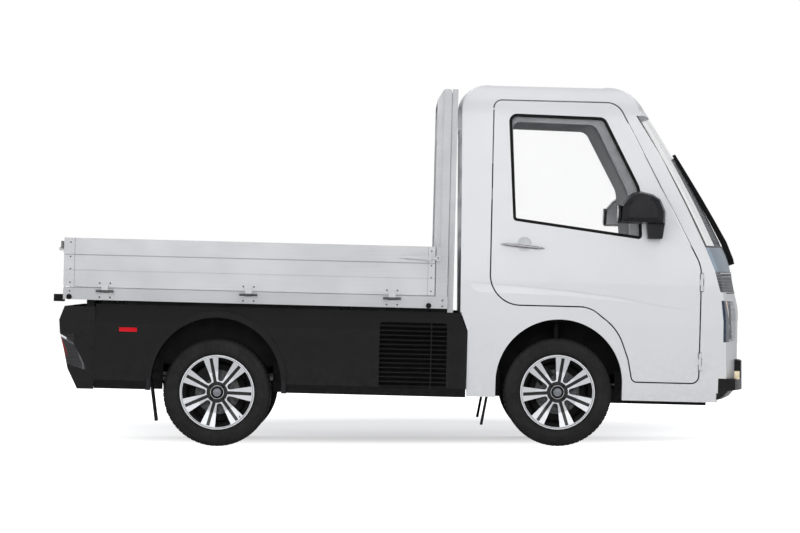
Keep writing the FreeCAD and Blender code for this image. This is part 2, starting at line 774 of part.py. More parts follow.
# Chassis: two rails that drop under the cab, crossmembers and outriggers
REAR_RAIL_Z = 600.0
FRONT_RAIL_Z = 246.0
RAIL_END_X = BED_REAR_X + 32.0
OUTRIGGER_X = (BED_REAR_X + 262, REAR_ARCH_X + REAR_ARCH_R + 100, -200.0, 235.0)
OUTRIGGER_Z = 640.0
skirt_outside = [(672, SKIRT_TOP_Z), (SKIRT_HALF_W, 612), (SKIRT_HALF_W, 312), (682, 266)]


def skirt_inner_y(z):
    """Inner face of the skirt's sloping top at a height."""
    (y0, z0), (y1, z1) = skirt_outside[:2]
    return y0 + (y1 - y0) * (z0 - z) / (z0 - z1) - SKIRT_T


def outrigger(x):
    ends = [(skirt_inner_y(z) - SEAT_GAP, z) for z in (OUTRIGGER_Z, OUTRIGGER_Z + 40)]
    root_y = RAIL_Y + RAIL_W - 5
    arm = front_prism([(root_y, OUTRIGGER_Z), ends[0], ends[1], (root_y, OUTRIGGER_Z + 40)], x, x + 40)
    return [arm, mirrored(arm)]


CROSSMEMBER_W = 50.0
CROSSMEMBERS = (
    (BED_REAR_X + 122, 620), (REAR_AXLE_X - 202, 620), (REAR_AXLE_X + 358, 620),
    (330, 620), (1250, 256), (1560, 256),
)


def chassis_frame():
    line = [
        (RAIL_END_X, REAR_RAIL_Z), (330, REAR_RAIL_Z), (640, FRONT_RAIL_Z), (1610, FRONT_RAIL_Z),
        (1610, FOOTWELL_Z), (700, FOOTWELL_Z), (390, DECK_Z), (RAIL_END_X, DECK_Z),
    ]
    rail = side_prism(line, RAIL_Y, RAIL_Y + RAIL_W)
    stay_line = [
        (RAIL_END_X, 600), (BED_REAR_X + 0.3, 600), (BED_REAR_X - 1.6, 620), (BED_REAR_X + 9.9, 667),
        (RAIL_END_X, 667),
    ]
    stay = side_prism(stay_line, RAIL_Y, RAIL_Y + RAIL_W)
    parts = [rail, mirrored(rail), stay, mirrored(stay)]
    for x, z in CROSSMEMBERS:
        parts.append(box(x, x + CROSSMEMBER_W, -RAIL_Y, RAIL_Y, z, z + CROSSMEMBER_W))
    for x in OUTRIGGER_X:
        parts.extend(outrigger(x))
    return join(parts)


export("chassis_frame", raked(chassis_frame()))

# Battery block between the rails, clear of the leaf spring hangers behind it
LEAF_HALF = 480.0
HANGER_HALF = 45.0
BATTERY_GAP = 23.0
BATTERY_REAR_X = REAR_AXLE_X + LEAF_HALF + HANGER_HALF + BATTERY_GAP
BATTERY_FRONT_X = CAB_REAR_X - 35.0
BATTERY_HALF_W = 470.0
BATTERY_LOW_Z = 330.0

battery = box(BATTERY_REAR_X, BATTERY_FRONT_X, -BATTERY_HALF_W, BATTERY_HALF_W, BATTERY_LOW_Z, REAR_RAIL_Z)
export("battery_case", raked(battery))

# Load bed: deck on side rails, with the fixed hinge halves and front corner posts
EDGE_RAIL_W = 34.0
HINGE_HALF = 46.0
HINGE_X = (BED_REAR_X + 220, (BED_REAR_X + 220 + BED_FRONT_X - 293.5) / 2, BED_FRONT_X - 293.5)
GATE_HINGE_Y = (-400.0, 0.0, 400.0)
TIE_R = 8.0
TIE_X = (BED_REAR_X + 212.0, BED_FRONT_X - 248.5)
TIE_Y = 560.0
BUFFER_R = 14.0
BUFFER_X = (BED_REAR_X + 32, BED_FRONT_X - 99.5)
BUFFER_Z = BED_FLOOR_Z - 52.0


def board_hinge_fixed(x):
    """Lower leaf on the side rail with the two outer barrels."""
    out = BED_HALF_W + PIN_OUT
    parts = [
        box(x - HINGE_HALF, x + HINGE_HALF, BED_HALF_W, BED_HALF_W + 3, PIN_Z - 42, PIN_Z - 8),
        fixed_barrels((x - HINGE_HALF, out, PIN_Z), (x + HINGE_HALF, out, PIN_Z)),
    ]
    for side in (-HINGE_HALF, HINGE_HALF - 25):
        parts.append(box(x + side, x + side + 25, BED_HALF_W, out, PIN_Z - 12, PIN_Z - 4))
    return join(parts)


def gate_hinge_fixed(y):
    out = BED_REAR_X - PIN_OUT
    parts = [fixed_barrels((out, y - HINGE_HALF, PIN_Z), (out, y + HINGE_HALF, PIN_Z))]
    for side in (-HINGE_HALF, HINGE_HALF - 25):
        parts.append(box(out, BED_REAR_X, y + side, y + side + 25, PIN_Z - 12, PIN_Z - 4))
    return join(parts)


def bed_floor():
    inside = BED_HALF_W - EDGE_RAIL_W
    plate = box(BED_REAR_X + 30, BED_FRONT_X, -inside, inside, PLATE_LOW, BED_RAIL_TOP)
    deck = box(BED_REAR_X + 34, 126, -inside + 4, inside - 4, BED_RAIL_TOP - 1, BED_FLOOR_Z)
    side_rail = box(BED_REAR_X, BED_FRONT_X, inside, BED_HALF_W, BED_RAIL_LOW, BED_RAIL_TOP)
    rail_lip = box(BED_REAR_X, BED_FRONT_X, BED_HALF_W, BED_HALF_W + 1.2, BED_RAIL_LOW, BED_RAIL_LOW + 14)
    end_rail = box(BED_REAR_X, BED_REAR_X + 30, -inside, inside, BED_RAIL_LOW, BED_RAIL_TOP)
    post_low, post_high = BED_RAIL_TOP + SEAT_GAP, BOARD_Z + BOARD_H
    post = box(144, BED_FRONT_X - 2.5, BED_HALF_W - BOARD_T, BED_HALF_W, post_low, post_high)
    side = [side_rail, rail_lip] + [board_hinge_fixed(x) for x in HINGE_X]
    side = join(side)
    bed = join([plate, deck, end_rail, side, mirrored(side)] + [gate_hinge_fixed(y) for y in GATE_HINGE_Y])
    holes = [rod((x, TIE_Y, PLATE_LOW - 1), (x, TIE_Y, BED_FLOOR_Z + 1), TIE_R) for x in TIE_X]
    return group([bed.cut(both(group(holes))), post, mirrored(post)])


def rubber_parts():
    """Rear blocks, round side buffers and the mudflaps behind each wheel."""
    flap_top = CAB_BOTTOM_Z + WALL_T
    block = box(BLOCK_REAR_X, BED_REAR_X, 560, 660, BED_FLOOR_Z - 78, BED_FLOOR_Z - 40)
    buffers = []
    for x in BUFFER_X:
        buffers.append(rod((x, BED_HALF_W + 1.3, BUFFER_Z), (x, BED_HALF_W + 13, BUFFER_Z), BUFFER_R))
    rear_x = REAR_ARCH_X - REAR_ARCH_R - 8
    rear_line = [(rear_x, 310.7), (rear_x + 12, 310.7), (rear_x + 43, 100), (rear_x + 31, 100)]
    rear_flap = side_prism(rear_line, 525, 649)
    front_x = ARCH_X - ARCH_R - LINER_GAP - 6
    front_line = [(front_x, flap_top), (front_x + 12, flap_top), (front_x - 23, 122), (front_x - 35, 122)]
    front_flap = side_prism(front_line, 525, 640)
    return both(group([block, rear_flap, front_flap] + buffers))


export("bed_floor", raked(bed_floor()))
export("rubber_parts", raked(rubber_parts()))

CROSS_COUNT = 7
CROSS_W = 40.0


def bed_subframe():
    first = BED_REAR_X + 122
    pitch = (BED_FRONT_X - CROSS_W - 128 - first) / (CROSS_COUNT - 1)
    parts = []
    for i in range(CROSS_COUNT):
        x = first + i * pitch
        parts.append(box(x, x + CROSS_W, -640, 640, DECK_Z, CROSS_TOP))
    for y in (-640, 600):
        parts.append(box(BED_REAR_X + 202, 208, y, y + CROSS_W, DECK_Z, BED_RAIL_LOW))
    return join(parts)


export("bed_subframe", raked(bed_subframe()))

# Drop sides and tailgate: grooved planks with end caps, moving hinge halves and latches
GROOVE_W = 3.0
GROOVE_DEEP = 1.6
GROOVE_Z = (BOARD_Z + 86, BOARD_Z + 167)
CAP_T = 1.4
REAR_CAP_W = 57.0
FRONT_CAP_W = 39.0
LEVER_Z = BOARD_Z + 198.0


def board_hinge_moving(x):
    out = BED_HALF_W + PIN_OUT
    return [
        box(x - HINGE_HALF, x + HINGE_HALF, BED_HALF_W, BED_HALF_W + 3, BOARD_Z, BOARD_Z + 34),
        moving_barrel((x - HINGE_HALF, out, PIN_Z), (x + HINGE_HALF, out, PIN_Z)),
        box(x - 18, x + 18, out - 2, out + 2, PIN_Z + 5, BOARD_Z + 12),
        box(x - 18, x + 18, BED_HALF_W, out + 2, BOARD_Z + 6, BOARD_Z + 12),
    ]


def lever_latch():
    """Over-centre lever whose hook reaches over the fixed corner post."""
    face = BED_HALF_W
    grip_line = [(-48, LEVER_Z - 4, 4), (-44, LEVER_Z + 7, 3), (96, LEVER_Z + 10), (96, LEVER_Z - 12)]
    grip = side_prism(grip_line, face + 8, face + 20)
    knuckle = rod((104, face, LEVER_Z - 2), (104, face + 22, LEVER_Z - 2), 15)
    bar_line = [(104, LEVER_Z - 8), (104, LEVER_Z + 4), (150, LEVER_Z + 4), (150, LEVER_Z - 8)]
    bar = side_prism(bar_line, face + 9, face + 15)
    hook = rod((152, face + MOVE_GAP, LEVER_Z - 2), (152, face + 16, LEVER_Z - 2), 15)
    foot = box(60, 96, face, face + 9, LEVER_Z - 10, LEVER_Z + 8)
    hook = hook.cut(rod((152, face, LEVER_Z - 2), (152, face + 30, LEVER_Z - 2), 7))
    return [grip, knuckle, bar, hook, foot]


def drop_board():
    inside = BED_HALF_W - BOARD_T
    panel = box(BED_REAR_X, BOARD_FRONT_X, inside, BED_HALF_W, BOARD_Z, BOARD_Z + BOARD_H)
    grooves = []
    for z in GROOVE_Z:
        grooves.append(box(BED_REAR_X + REAR_CAP_W, BOARD_FRONT_X - FRONT_CAP_W,
                           BED_HALF_W - GROOVE_DEEP, BED_HALF_W + 1, z, z + GROOVE_W))
    caps = [
        box(BED_REAR_X, BED_REAR_X + REAR_CAP_W, BED_HALF_W, BED_HALF_W + CAP_T, BOARD_Z, BOARD_Z + BOARD_H),
        box(BOARD_FRONT_X - FRONT_CAP_W, BOARD_FRONT_X, BED_HALF_W, BED_HALF_W + CAP_T, BOARD_Z,
            BOARD_Z + BOARD_H),
    ]
    hinges = []
    for x in HINGE_X:
        hinges.extend(board_hinge_moving(x))
    return join([panel.cut(group(grooves))] + caps + hinges + lever_latch())


def gate_latch(y):
    """Small draw latch on the gate's outer face, near its end."""
    out = BED_REAR_X - 30
    return [
        box(BED_REAR_X - 8, BED_REAR_X, y - 16, y + 16, LEVER_Z - 22, LEVER_Z + 20),
        rod((out + 8, y - 12, LEVER_Z - 1), (out + 8, y + 12, LEVER_Z - 1), 10),
        box(out + 8, BED_REAR_X, y - 6, y + 6, LEVER_Z - 6, LEVER_Z + 4),
    ]


def tailgate():
    half = BED_HALF_W - BOARD_T - MOVE_GAP
    panel = box(BED_REAR_X, BED_REAR_X + BOARD_T, -half, half, BOARD_Z, BOARD_Z + BOARD_H)
    grooves = [box(BED_REAR_X - 1, BED_REAR_X + GROOVE_DEEP, -half + REAR_CAP_W, half - REAR_CAP_W, z, z + GROOVE_W)
               for z in GROOVE_Z]
    parts = [panel.cut(group(grooves))]
    out = BED_REAR_X - PIN_OUT
    for y in GATE_HINGE_Y:
        parts.append(moving_barrel((out, y - HINGE_HALF, PIN_Z), (out, y + HINGE_HALF, PIN_Z)))
        parts.append(box(out - 2, out + 2, y - 18, y + 18, PIN_Z + 5, BOARD_Z + 12))
        parts.append(box(out - 2, BED_REAR_X, y - 18, y + 18, BOARD_Z + 6, BOARD_Z + 12))
    for side in (-1, 1):
        parts.extend(gate_latch(side * (half - 40)))
    return join(parts)


export_pair("side_board", mirrored(drop_board()))
export("tailgate", raked(tailgate()))

# Headboard: outer posts, a guard frame with bars behind them and a board below
GUARD_X = (130.0, 165.0)
POST_X = (165.0, 205.5)
BRACE_X = (209.0, 239.0)
CHAMFER = 58.0


def headboard():
    inside = BED_HALF_W - BOARD_T - SEAT_GAP
    top = HEADBOARD_TOP_Z
    guard_line = [
        (GUARD_X[0], BED_FLOOR_Z - 3), (GUARD_X[1], BED_FLOOR_Z - 3), (GUARD_X[1], top), (GUARD_X[0], top - CHAMFER),
    ]
    post_line = [
        (POST_X[0], BED_RAIL_TOP), (POST_X[1], BED_RAIL_TOP), (POST_X[1], top, 14), (POST_X[0], top, 10),
    ]
    post = side_prism(post_line, inside - 44, inside)
    upright = side_prism(guard_line, inside - 52, inside - 10)
    brace = box(BRACE_X[0], BRACE_X[1], inside - 52, inside - 14, DECK_Z + 1, top)
    link_z = (top - 60, 1200, BED_FLOOR_Z + 60)
    links = [box(POST_X[0], BRACE_X[1], inside - 44, inside - 20, z, z + 40) for z in link_z]
    side = join([post, upright, brace] + links)
    parts = [side, mirrored(side)]
    for z in (1120, 1290, 1460, 1630, 1790):
        parts.append(box(GUARD_X[0] + 5, GUARD_X[1] - 5, -inside + 50, inside - 50, z, z + 30))
    parts.append(side_prism([
        (GUARD_X[0], top - CHAMFER - 20), (GUARD_X[1], top - 40), (GUARD_X[1], top), (GUARD_X[0], top - CHAMFER),
    ], -inside + 50, inside - 50))
    parts.append(box(GUARD_X[0] + 8, GUARD_X[1] - 5, -inside + 50, inside - 50, BED_RAIL_TOP, BOARD_Z + BOARD_H))
    return join(parts)


export("headboard", raked(headboard()))

# Side skirts with the rear arches
SKIRT_REAR_X = BED_REAR_X + 172.3
ARCH_LIP = 32.0
GRILLE_X = (-145.0, 210.0)
GRILLE_Z = (311.0, 654.0)
GRILLE_CORNER = 14.0
SLAT_COUNT = 14


def arch_shape(radius, y0, y1):
    """Rear wheel arch in side view, round above its centre and straight below."""
    top = REAR_ARCH_Z + radius
    return side_prism([
        (REAR_ARCH_X - radius, 200), (REAR_ARCH_X - radius, top, radius - 0.5),
        (REAR_ARCH_X + radius, top, radius - 0.5), (REAR_ARCH_X + radius, 200),
    ], y0, y1)


def skirt():
    inside = [(y - SKIRT_T, z) for y, z in reversed(skirt_outside)]
    panel = front_prism(skirt_outside + inside, SKIRT_REAR_X, SKIRT_FRONT[1][0] - SEAT_GAP)
    upper, lower = SKIRT_FRONT[:2]
    corner = side_prism([upper, (upper[0], 730), (400, 730), (400, lower[1]), lower], 600, 800)
    low, high = GRILLE_Z
    grille_hole = side_prism([
        (GRILLE_X[0], low, GRILLE_CORNER), (GRILLE_X[1], low, GRILLE_CORNER),
        (GRILLE_X[1], high, GRILLE_CORNER), (GRILLE_X[0], high, GRILLE_CORNER),
    ], 600, 800)
    panel = panel.cut(group([arch_shape(REAR_ARCH_R + 2, 500, 800), grille_hole, corner]))
    lip = arch_shape(REAR_ARCH_R + ARCH_LIP, 650, SKIRT_HALF_W + 8).cut(arch_shape(REAR_ARCH_R, 600, 800))
    lip = lip.common(box(REAR_ARCH_X - 500, REAR_ARCH_X + 500, 600, 720, 330, 712))
    return join([panel, lip])


def grille():
    """Sloping slats with one upright divider."""
    low, high = GRILLE_Z
    pitch = (high - low) / SLAT_COUNT
    x0, x1 = GRILLE_X[0] + SEAT_GAP, GRILLE_X[1] - SEAT_GAP
    parts = [box(125, 131, 676, 699, low + SEAT_GAP, high - SEAT_GAP)]
    for i in range(SLAT_COUNT):
        z = low + pitch * (i + 0.5)
        parts.append(front_prism([(675, z + 8), (681, z + 8), (698, z - 5), (698, z - 9), (692, z - 9)], x0, x1))
    corner = side_prism([
        (x0, low + SEAT_GAP, GRILLE_CORNER), (x1, low + SEAT_GAP, GRILLE_CORNER),
        (x1, high - SEAT_GAP, GRILLE_CORNER), (x0, high - SEAT_GAP, GRILLE_CORNER),
    ], 600, 800)
    return join(parts).common(corner)


export("skirts", raked(both(skirt())))
export("skirt_grilles", raked(both(grille())))

# Rear bumper, open above, with wrap-round tail lamps; offsets from the bed's rear end
BUMPER_REAR = [(172, 697), (10, 697), (-17, 624), (-12, 558), (12, 462), (33, 366), (85, 262), (172, 262)]
BUMPER_HOLLOW = [(222, 720), (22, 720), (-2, 620), (3, 560), (26, 465), (47, 370), (94, 276), (222, 240)]
TAIL_LAMP = [(-78, 566), (-16, 552), (52, 516), (121, 395), (131, 360), (40, 388), (-78, 388)]


def from_bed_end(points):
    return [(BED_REAR_X + x, z) for x, z in points]


bumper_shell = side_prism(from_bed_end(BUMPER_REAR), -SKIRT_HALF_W, SKIRT_HALF_W)
bumper_hollow = side_prism(from_bed_end(BUMPER_HOLLOW), -SKIRT_HALF_W + SKIRT_T, SKIRT_HALF_W - SKIRT_T)
bumper_shell = bumper_shell.cut(bumper_hollow)
lamp_side = side_prism(from_bed_end(TAIL_LAMP), 640, WIDE)
lamp_back = front_prism([(520, 552), (WIDE, 552), (WIDE, 388), (560, 388)], BED_REAR_X - 78, BED_REAR_X + 62)
tail_zone = both(lamp_side.fuse(lamp_back))
export("rear_bumper", raked(bumper_shell.cut(tail_zone)))
export("tail_lamps", raked(bumper_shell.common(tail_zone)))

# Brakes: a disc on each wheel and a caliper on the part that holds it
DISC_R = 118.0
DISC_Y = (WHEEL_Y - 22, WHEEL_Y - 10)
CALIPER_TURN = -40.0


def caliper(x):
    """Left caliper with its bracket, turned round the axle to the rear of the disc."""
    body = box(-45, 45, DISC_Y[0] - 14, DISC_Y[1] + 14, 80, 146)
    slot = rod((0, DISC_Y[0] - 5, 0), (0, DISC_Y[1] + 5, 0), DISC_R + 8)
    bracket = box(-18, 18, DISC_Y[0] - 48, DISC_Y[0] - 13, 30, 120)
    shape = join([body.cut(slot), bracket])
    shape.rotate(V(0, 0, 0), V(0, 1, 0), CALIPER_TURN)
    shape.translate(V(x, 0, TYRE_R))
    return shape


# Rear beam axle with the motor, and its leaf springs; these stand level
LEAF_RISE = 50.0
LEAF_Y = (400.0, 455.0)
LEAF_T = 18.0
HANGER_TOP_Z = 640.0
STUB_END_Y = WHEEL_Y + 50.0


def rear_axle():
    x, z = REAR_AXLE_X, TYRE_R
    parts = [rod((x, -500, z), (x, 500, z), 35), rod((x, -150, z), (x, 190, z), 105)]
    side = [
        rod((x, 480, z), (x, 538, z), 60),
        rod((x, 530, z), (x, STUB_END_Y, z), STUB_R),
        box(x - 35, x + 35, LEAF_Y[0] - 3, LEAF_Y[1] + 2, z, z + 40 - 0.2),
        caliper(x),
    ]
    side = join(side)
    return join(parts + [side, mirrored(side)])


def leaf_spring():
    """Curved leaf with a hanger from the rail at each end."""
    x, low = REAR_AXLE_X, TYRE_R + 40
    ends = [V(x - LEAF_HALF, LEAF_Y[0], low + LEAF_RISE), V(x + LEAF_HALF, LEAF_Y[0], low + LEAF_RISE)]
    lower = Part.Arc(ends[0], V(x, LEAF_Y[0], low), ends[1]).toShape()
    upper = lower.copy()
    upper.translate(V(0, 0, LEAF_T))
    lift = V(0, 0, LEAF_T)
    sides = [Part.makeLine(ends[1], ends[1] + lift), Part.makeLine(ends[0] + lift, ends[0])]
    leaf = Part.Face(Part.Wire([lower, sides[0], upper, sides[1]])).extrude(V(0, LEAF_Y[1] - LEAF_Y[0], 0))
    parts = [leaf]
    for side in (-1, 1):
        end = x + side * LEAF_HALF
        line = [
            (end - 30, low + LEAF_RISE), (end + 30, low + LEAF_RISE),
            (end + HANGER_HALF, HANGER_TOP_Z), (end - HANGER_HALF, HANGER_TOP_Z),
        ]
        parts.append(side_prism(line, RAIL_Y + RAIL_W + SEAT_GAP, LEAF_Y[1]))
    return join(parts)


export("rear_axle", level(rear_axle()))
export("leaf_springs", level(both(leaf_spring())))

# Front suspension arms and the steering rack between them
ARM_Z = (204.0, 222.0)


def front_suspension():
    x = FRONT_AXLE_X
    inner = RAIL_Y - 60
    arm = plan_prism([
        (x - 26, KINGPIN_Y + 24, 20), (x + 26, KINGPIN_Y + 24, 20), (x + 58, inner), (x - 58, inner),
    ], *ARM_Z)
    arm = arm.cut(rod((x, KINGPIN_Y, 200), (x, KINGPIN_Y, 260), SPINDLE_R + RUN_GAP))
    beam = box(x - 60, x + 60, -RAIL_Y + SEAT_GAP, RAIL_Y - SEAT_GAP, ARM_Z[0], 282)
    rack = rod((x + 90, -RAIL_Y + SEAT_GAP, 262), (x + 90, RAIL_Y - SEAT_GAP, 262), 24)
    rack_foot = box(x + 55, x + 95, -40, 40, 250, 274)
    return join([arm, mirrored(arm), beam, rack, rack_foot])


export("front_suspension", level(front_suspension()))


# Steered knuckles with struts
def knuckle():
    x, z = FRONT_AXLE_X, TYRE_R
    return join([
        rod((x, KINGPIN_Y - 15, z), (x, 540, z), 48),
        rod((x, 530, z), (x, STUB_END_Y, z), STUB_R),
        rod((x, KINGPIN_Y, ARM_Z[1] + SEAT_GAP), (x, KINGPIN_Y, 640), 22),
        rod((x, KINGPIN_Y, ARM_Z[0] - 6), (x, KINGPIN_Y, ARM_Z[1] + 8), SPINDLE_R),
        rod((x, KINGPIN_Y, 630), (x, KINGPIN_Y, 664), 8),
        caliper(x),
    ])


export_pair("knuckle", mirrored(knuckle()), level)

# Wheels: profiles are radius and offset, the outer side is negative
FLANGE_A = 74.0
BEAD_A = 69.0
BEAD_R = RIM_R - 8.0
HUB_FACE = -62.0
POCKET_DEEP = 7.0
GROOVE_HALF = 8.8
WINDOW_APEX = 16.2
WINDOW_SLOPE = 0.262
FRONT_TURN = 9.7
REAR_TURN = -10.0
TYRE_SIDES = 62
tyre_section = [
    (BEAD_R, -BEAD_A + SEAT_GAP), (RIM_R + 3, -BEAD_A + SEAT_GAP), (RIM_R + 28, -TYRE_HALF),
    (TYRE_R - 26, -TYRE_HALF), (TYRE_R - 6, -TYRE_HALF + 9), (TYRE_R, -TYRE_HALF + 24),
    (TYRE_R, TYRE_HALF - 24), (TYRE_R - 6, TYRE_HALF - 9), (TYRE_R - 26, TYRE_HALF),
    (RIM_R + 28, TYRE_HALF), (RIM_R + 3, BEAD_A - SEAT_GAP), (BEAD_R, BEAD_A - SEAT_GAP),
]
barrel_section = [
    (RIM_R, -FLANGE_A), (RIM_R, -BEAD_A), (BEAD_R - 0.3, -BEAD_A), (BEAD_R - 0.3, -50), (RIM_R - 29, -34),
    (RIM_R - 29, 48), (BEAD_R - 0.3, 60), (BEAD_R - 0.3, BEAD_A), (RIM_R, BEAD_A), (RIM_R, FLANGE_A),
    (RIM_R - 12, FLANGE_A), (RIM_R - 15, 56), (RIM_R - 35, 44), (RIM_R - 35, -32), (RIM_R - 15, -52),
    (RIM_R - 12, -FLANGE_A),
]
face_section = [
    (0, HUB_FACE), (58, HUB_FACE), (110, HUB_FACE + 2), (RIM_R - 10, -70), (RIM_R - 10, -54),
    (120, -44), (62, -38), (58, -25), (0, -25),
]
pocket_section = [
    (0, -90), (RIM_R - 15, -90), (RIM_R - 15, -63), (110, HUB_FACE + 2 + POCKET_DEEP),
    (58, HUB_FACE + POCKET_DEEP), (0, HUB_FACE + POCKET_DEEP),
]
cap_section = [(0, -68), (17, -67), (26, -63), (29, -57), (29, -54), (0, -54)]
hat_section = [
    (STUB_R + 4, -26), (60, -26), (60, 10), (DISC_R, 10), (DISC_R, 22), (46, 22), (46, -12), (STUB_R + 4, -12),
]


def rim(turn):
    """Rim with paired spokes: windows cut through, a groove down each pair, and the brake disc."""
    reach = RIM_R + 10
    wide = (reach - WINDOW_APEX) * WINDOW_SLOPE
    window = side_prism([(0, WINDOW_APEX, 15), (wide, reach), (-wide, reach)], -100, -20)
    groove = box(-GROOVE_HALF, GROOVE_HALF, -100, -40, 40, reach)
    hub_round = rod((0, -100, 0), (0, -40, 0), 54)
    half_pitch = 180.0 / SPOKE_PAIRS
    face = turned(face_section).cut(spun(window, SPOKE_PAIRS, turn + half_pitch))
    pockets = turned(pocket_section).common(join([hub_round] + spun(groove, SPOKE_PAIRS, turn).Solids))
    face = face.cut(pockets)
    whole = join([face, turned(barrel_section), turned(cap_section), turned(hat_section)])
    bore_end = WHEEL_Y - STUB_END_Y - SEAT_GAP
    return whole.cut(rod((0, bore_end, 0), (0, 40, 0), STUB_R + RUN_GAP))


def wheel_at(x, side, end, tyre_shape, rim_shape):
    name = end + ("_right" if side < 0 else "_left")
    for label, shape in (("tyre_", tyre_shape), ("rim_", rim_shape)):
        placed = shape.copy() if side < 0 else mirrored(shape)
        placed.translate(V(x, side * WHEEL_Y, TYRE_R))
        export(label + name, level(placed))


tyre = sided_ring(tyre_section, TYRE_SIDES)
front_rim = rim(FRONT_TURN)
rear_rim = rim(REAR_TURN)
for side in (-1, 1):
    wheel_at(FRONT_AXLE_X, side, "front", tyre, front_rim)
    wheel_at(REAR_AXLE_X, side, "rear", tyre, rear_rim)
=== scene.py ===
# %% [markdown]
# # A small flatbed utility truck
#
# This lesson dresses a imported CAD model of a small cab-over truck. The panels, frame, bed and rims come from the
# CAD, and each gets a finish here. Tyres, seals, lamps, seats, trims and fasteners are modelled on top of it.

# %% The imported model
import bmesh
import bpy
import math
from mathutils import Matrix, Vector


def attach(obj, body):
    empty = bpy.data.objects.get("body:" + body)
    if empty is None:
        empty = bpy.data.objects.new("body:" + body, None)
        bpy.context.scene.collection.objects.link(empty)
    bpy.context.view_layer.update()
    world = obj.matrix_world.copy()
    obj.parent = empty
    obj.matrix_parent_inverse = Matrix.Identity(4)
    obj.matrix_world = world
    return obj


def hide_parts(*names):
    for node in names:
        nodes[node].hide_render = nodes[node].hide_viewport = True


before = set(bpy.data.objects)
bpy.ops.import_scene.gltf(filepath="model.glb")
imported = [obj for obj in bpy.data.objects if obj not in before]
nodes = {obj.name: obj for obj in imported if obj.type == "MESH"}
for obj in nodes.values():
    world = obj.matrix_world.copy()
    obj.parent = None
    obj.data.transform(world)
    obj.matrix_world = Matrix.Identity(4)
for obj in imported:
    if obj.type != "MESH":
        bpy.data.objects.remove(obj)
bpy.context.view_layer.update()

# %% [markdown]
# ## Where things are
#
# The truck's body leans nose down by 1.45 degrees while its wheels stand level. It is easier to model everything
# upright, in millimetres as on a drawing, and to turn the finished piece afterwards. So there are two placings:
# one for what sits on the leaning body, and one for what stands level, such as the wheels.

# %% Two placings and a ruler
LEAN = math.radians(1.45)
TYRE_R = 0.285
ORIGIN_X = 0.02205
to_level = Matrix.Translation((ORIGIN_X, 0, 0))
axle_up = Matrix.Translation((0, 0, TYRE_R))
to_body = to_level @ axle_up @ Matrix.Rotation(LEAN, 4, "Y") @ axle_up.inverted()


def mm(x, y, z):
    return Vector((x, y, z)) / 1000


print("front of the bumper is at", to_body @ mm(1815, 0, 420))

# %% [markdown]
# ## Helpers for modelling by hand
#
# Operators act on whatever is selected, so each step starts with nothing selected. Faces, edges and vertices are
# then picked by their place, and a piece is finished by writing its placing into its mesh.

# %% Picking and placing
BOTH = (("right", -1), ("left", 1))


def nothing():
    """Object mode with nothing selected."""
    if bpy.context.object is not None and bpy.context.object.mode != "OBJECT":
        bpy.ops.object.mode_set(mode="OBJECT")
    bpy.ops.object.select_all(action="DESELECT")


def only(thing):
    nothing()
    thing.select_set(True)
    bpy.context.view_layer.objects.active = thing


def pick(kind, test):
    """Selects the vertices, edges or faces whose middle passes the test, in edit mode."""
    bpy.ops.mesh.select_mode(type=kind)
    bpy.ops.mesh.select_all(action="DESELECT")
    mesh = bmesh.from_edit_mesh(bpy.context.object.data)
    if kind == "VERT":
        for vertex in mesh.verts:
            vertex.select_set(test(vertex.co))
    else:
        for item in (mesh.edges if kind == "EDGE" else mesh.faces):
            middle = sum((v.co for v in item.verts), Vector()) / len(item.verts)
            item.select_set(test(middle))
    bmesh.update_edit_mesh(bpy.context.object.data)


def editing(thing):
    only(thing)
    bpy.ops.object.mode_set(mode="EDIT")
    bpy.ops.mesh.select_all(action="SELECT")


def push(value):
    bpy.ops.mesh.extrude_region_move(TRANSFORM_OT_translate={"value": value})


def trace(name, points, filled=False):
    """Draws a closed outline by extruding one vertex from point to point, and fills it if asked."""
    nothing()
    bpy.ops.mesh.primitive_plane_add(size=0.001)
    thing = bpy.context.object
    thing.name = name
    editing(thing)
    bpy.ops.mesh.select_mode(type="VERT")
    bpy.ops.mesh.merge(type="CENTER")
    bpy.ops.transform.translate(value=points[0])
    for here, there in zip(points, points[1:]):
        push(there - here)
    pick("VERT", lambda p: min((p - end).length for end in (points[0], points[-1])) < 1e-5)
    bpy.ops.mesh.edge_face_add()
    bpy.ops.mesh.select_all(action="SELECT")
    if filled:
        bpy.ops.mesh.edge_face_add()
    return thing


def round_corner(spot, reach, steps):
    """Rounds the outline's corner at a spot by a vertex bevel."""
    pick("VERT", lambda p: (p - spot).length < 1e-5)
    bpy.ops.mesh.bevel(offset=reach, offset_type="OFFSET", segments=steps, affect="VERTICES")
    bpy.ops.mesh.select_all(action="SELECT")


def cut_across(axis, places):
    """Cuts the edited piece square to an axis (0, 1 or 2) at places in millimetres."""
    square = [float(i == axis) for i in range(3)]
    for place in places:
        bpy.ops.mesh.select_all(action="SELECT")
        bpy.ops.mesh.bisect(plane_co=[place / 1000 * share for share in square], plane_no=square)


def steps_between(low, high, parts):
    """The places that divide a length into equal parts, without its ends."""
    return [low + (high - low) * i / parts for i in range(1, parts)]


def outwards():
    """Turns all faces out and leaves edit mode."""
    bpy.ops.mesh.select_all(action="SELECT")
    bpy.ops.mesh.normals_make_consistent(inside=False)
    bpy.ops.object.mode_set(mode="OBJECT")


def smooth(angle=35):
    bpy.ops.object.shade_smooth_by_angle(angle=math.radians(angle))


def soften(thing, width, steps=2, angle=35):
    """Bevels the sharp edges and shades the rest smooth."""
    only(thing)
    edge = thing.modifiers.new("edges", "BEVEL")
    edge.width = width
    edge.segments = steps
    edge.limit_method = "ANGLE"
    edge.angle_limit = math.radians(angle)
    bpy.ops.object.modifier_apply(modifier=edge.name)
    smooth(angle)


def dress(thing, finish):
    thing.data.materials.clear()
    thing.data.materials.append(finish)


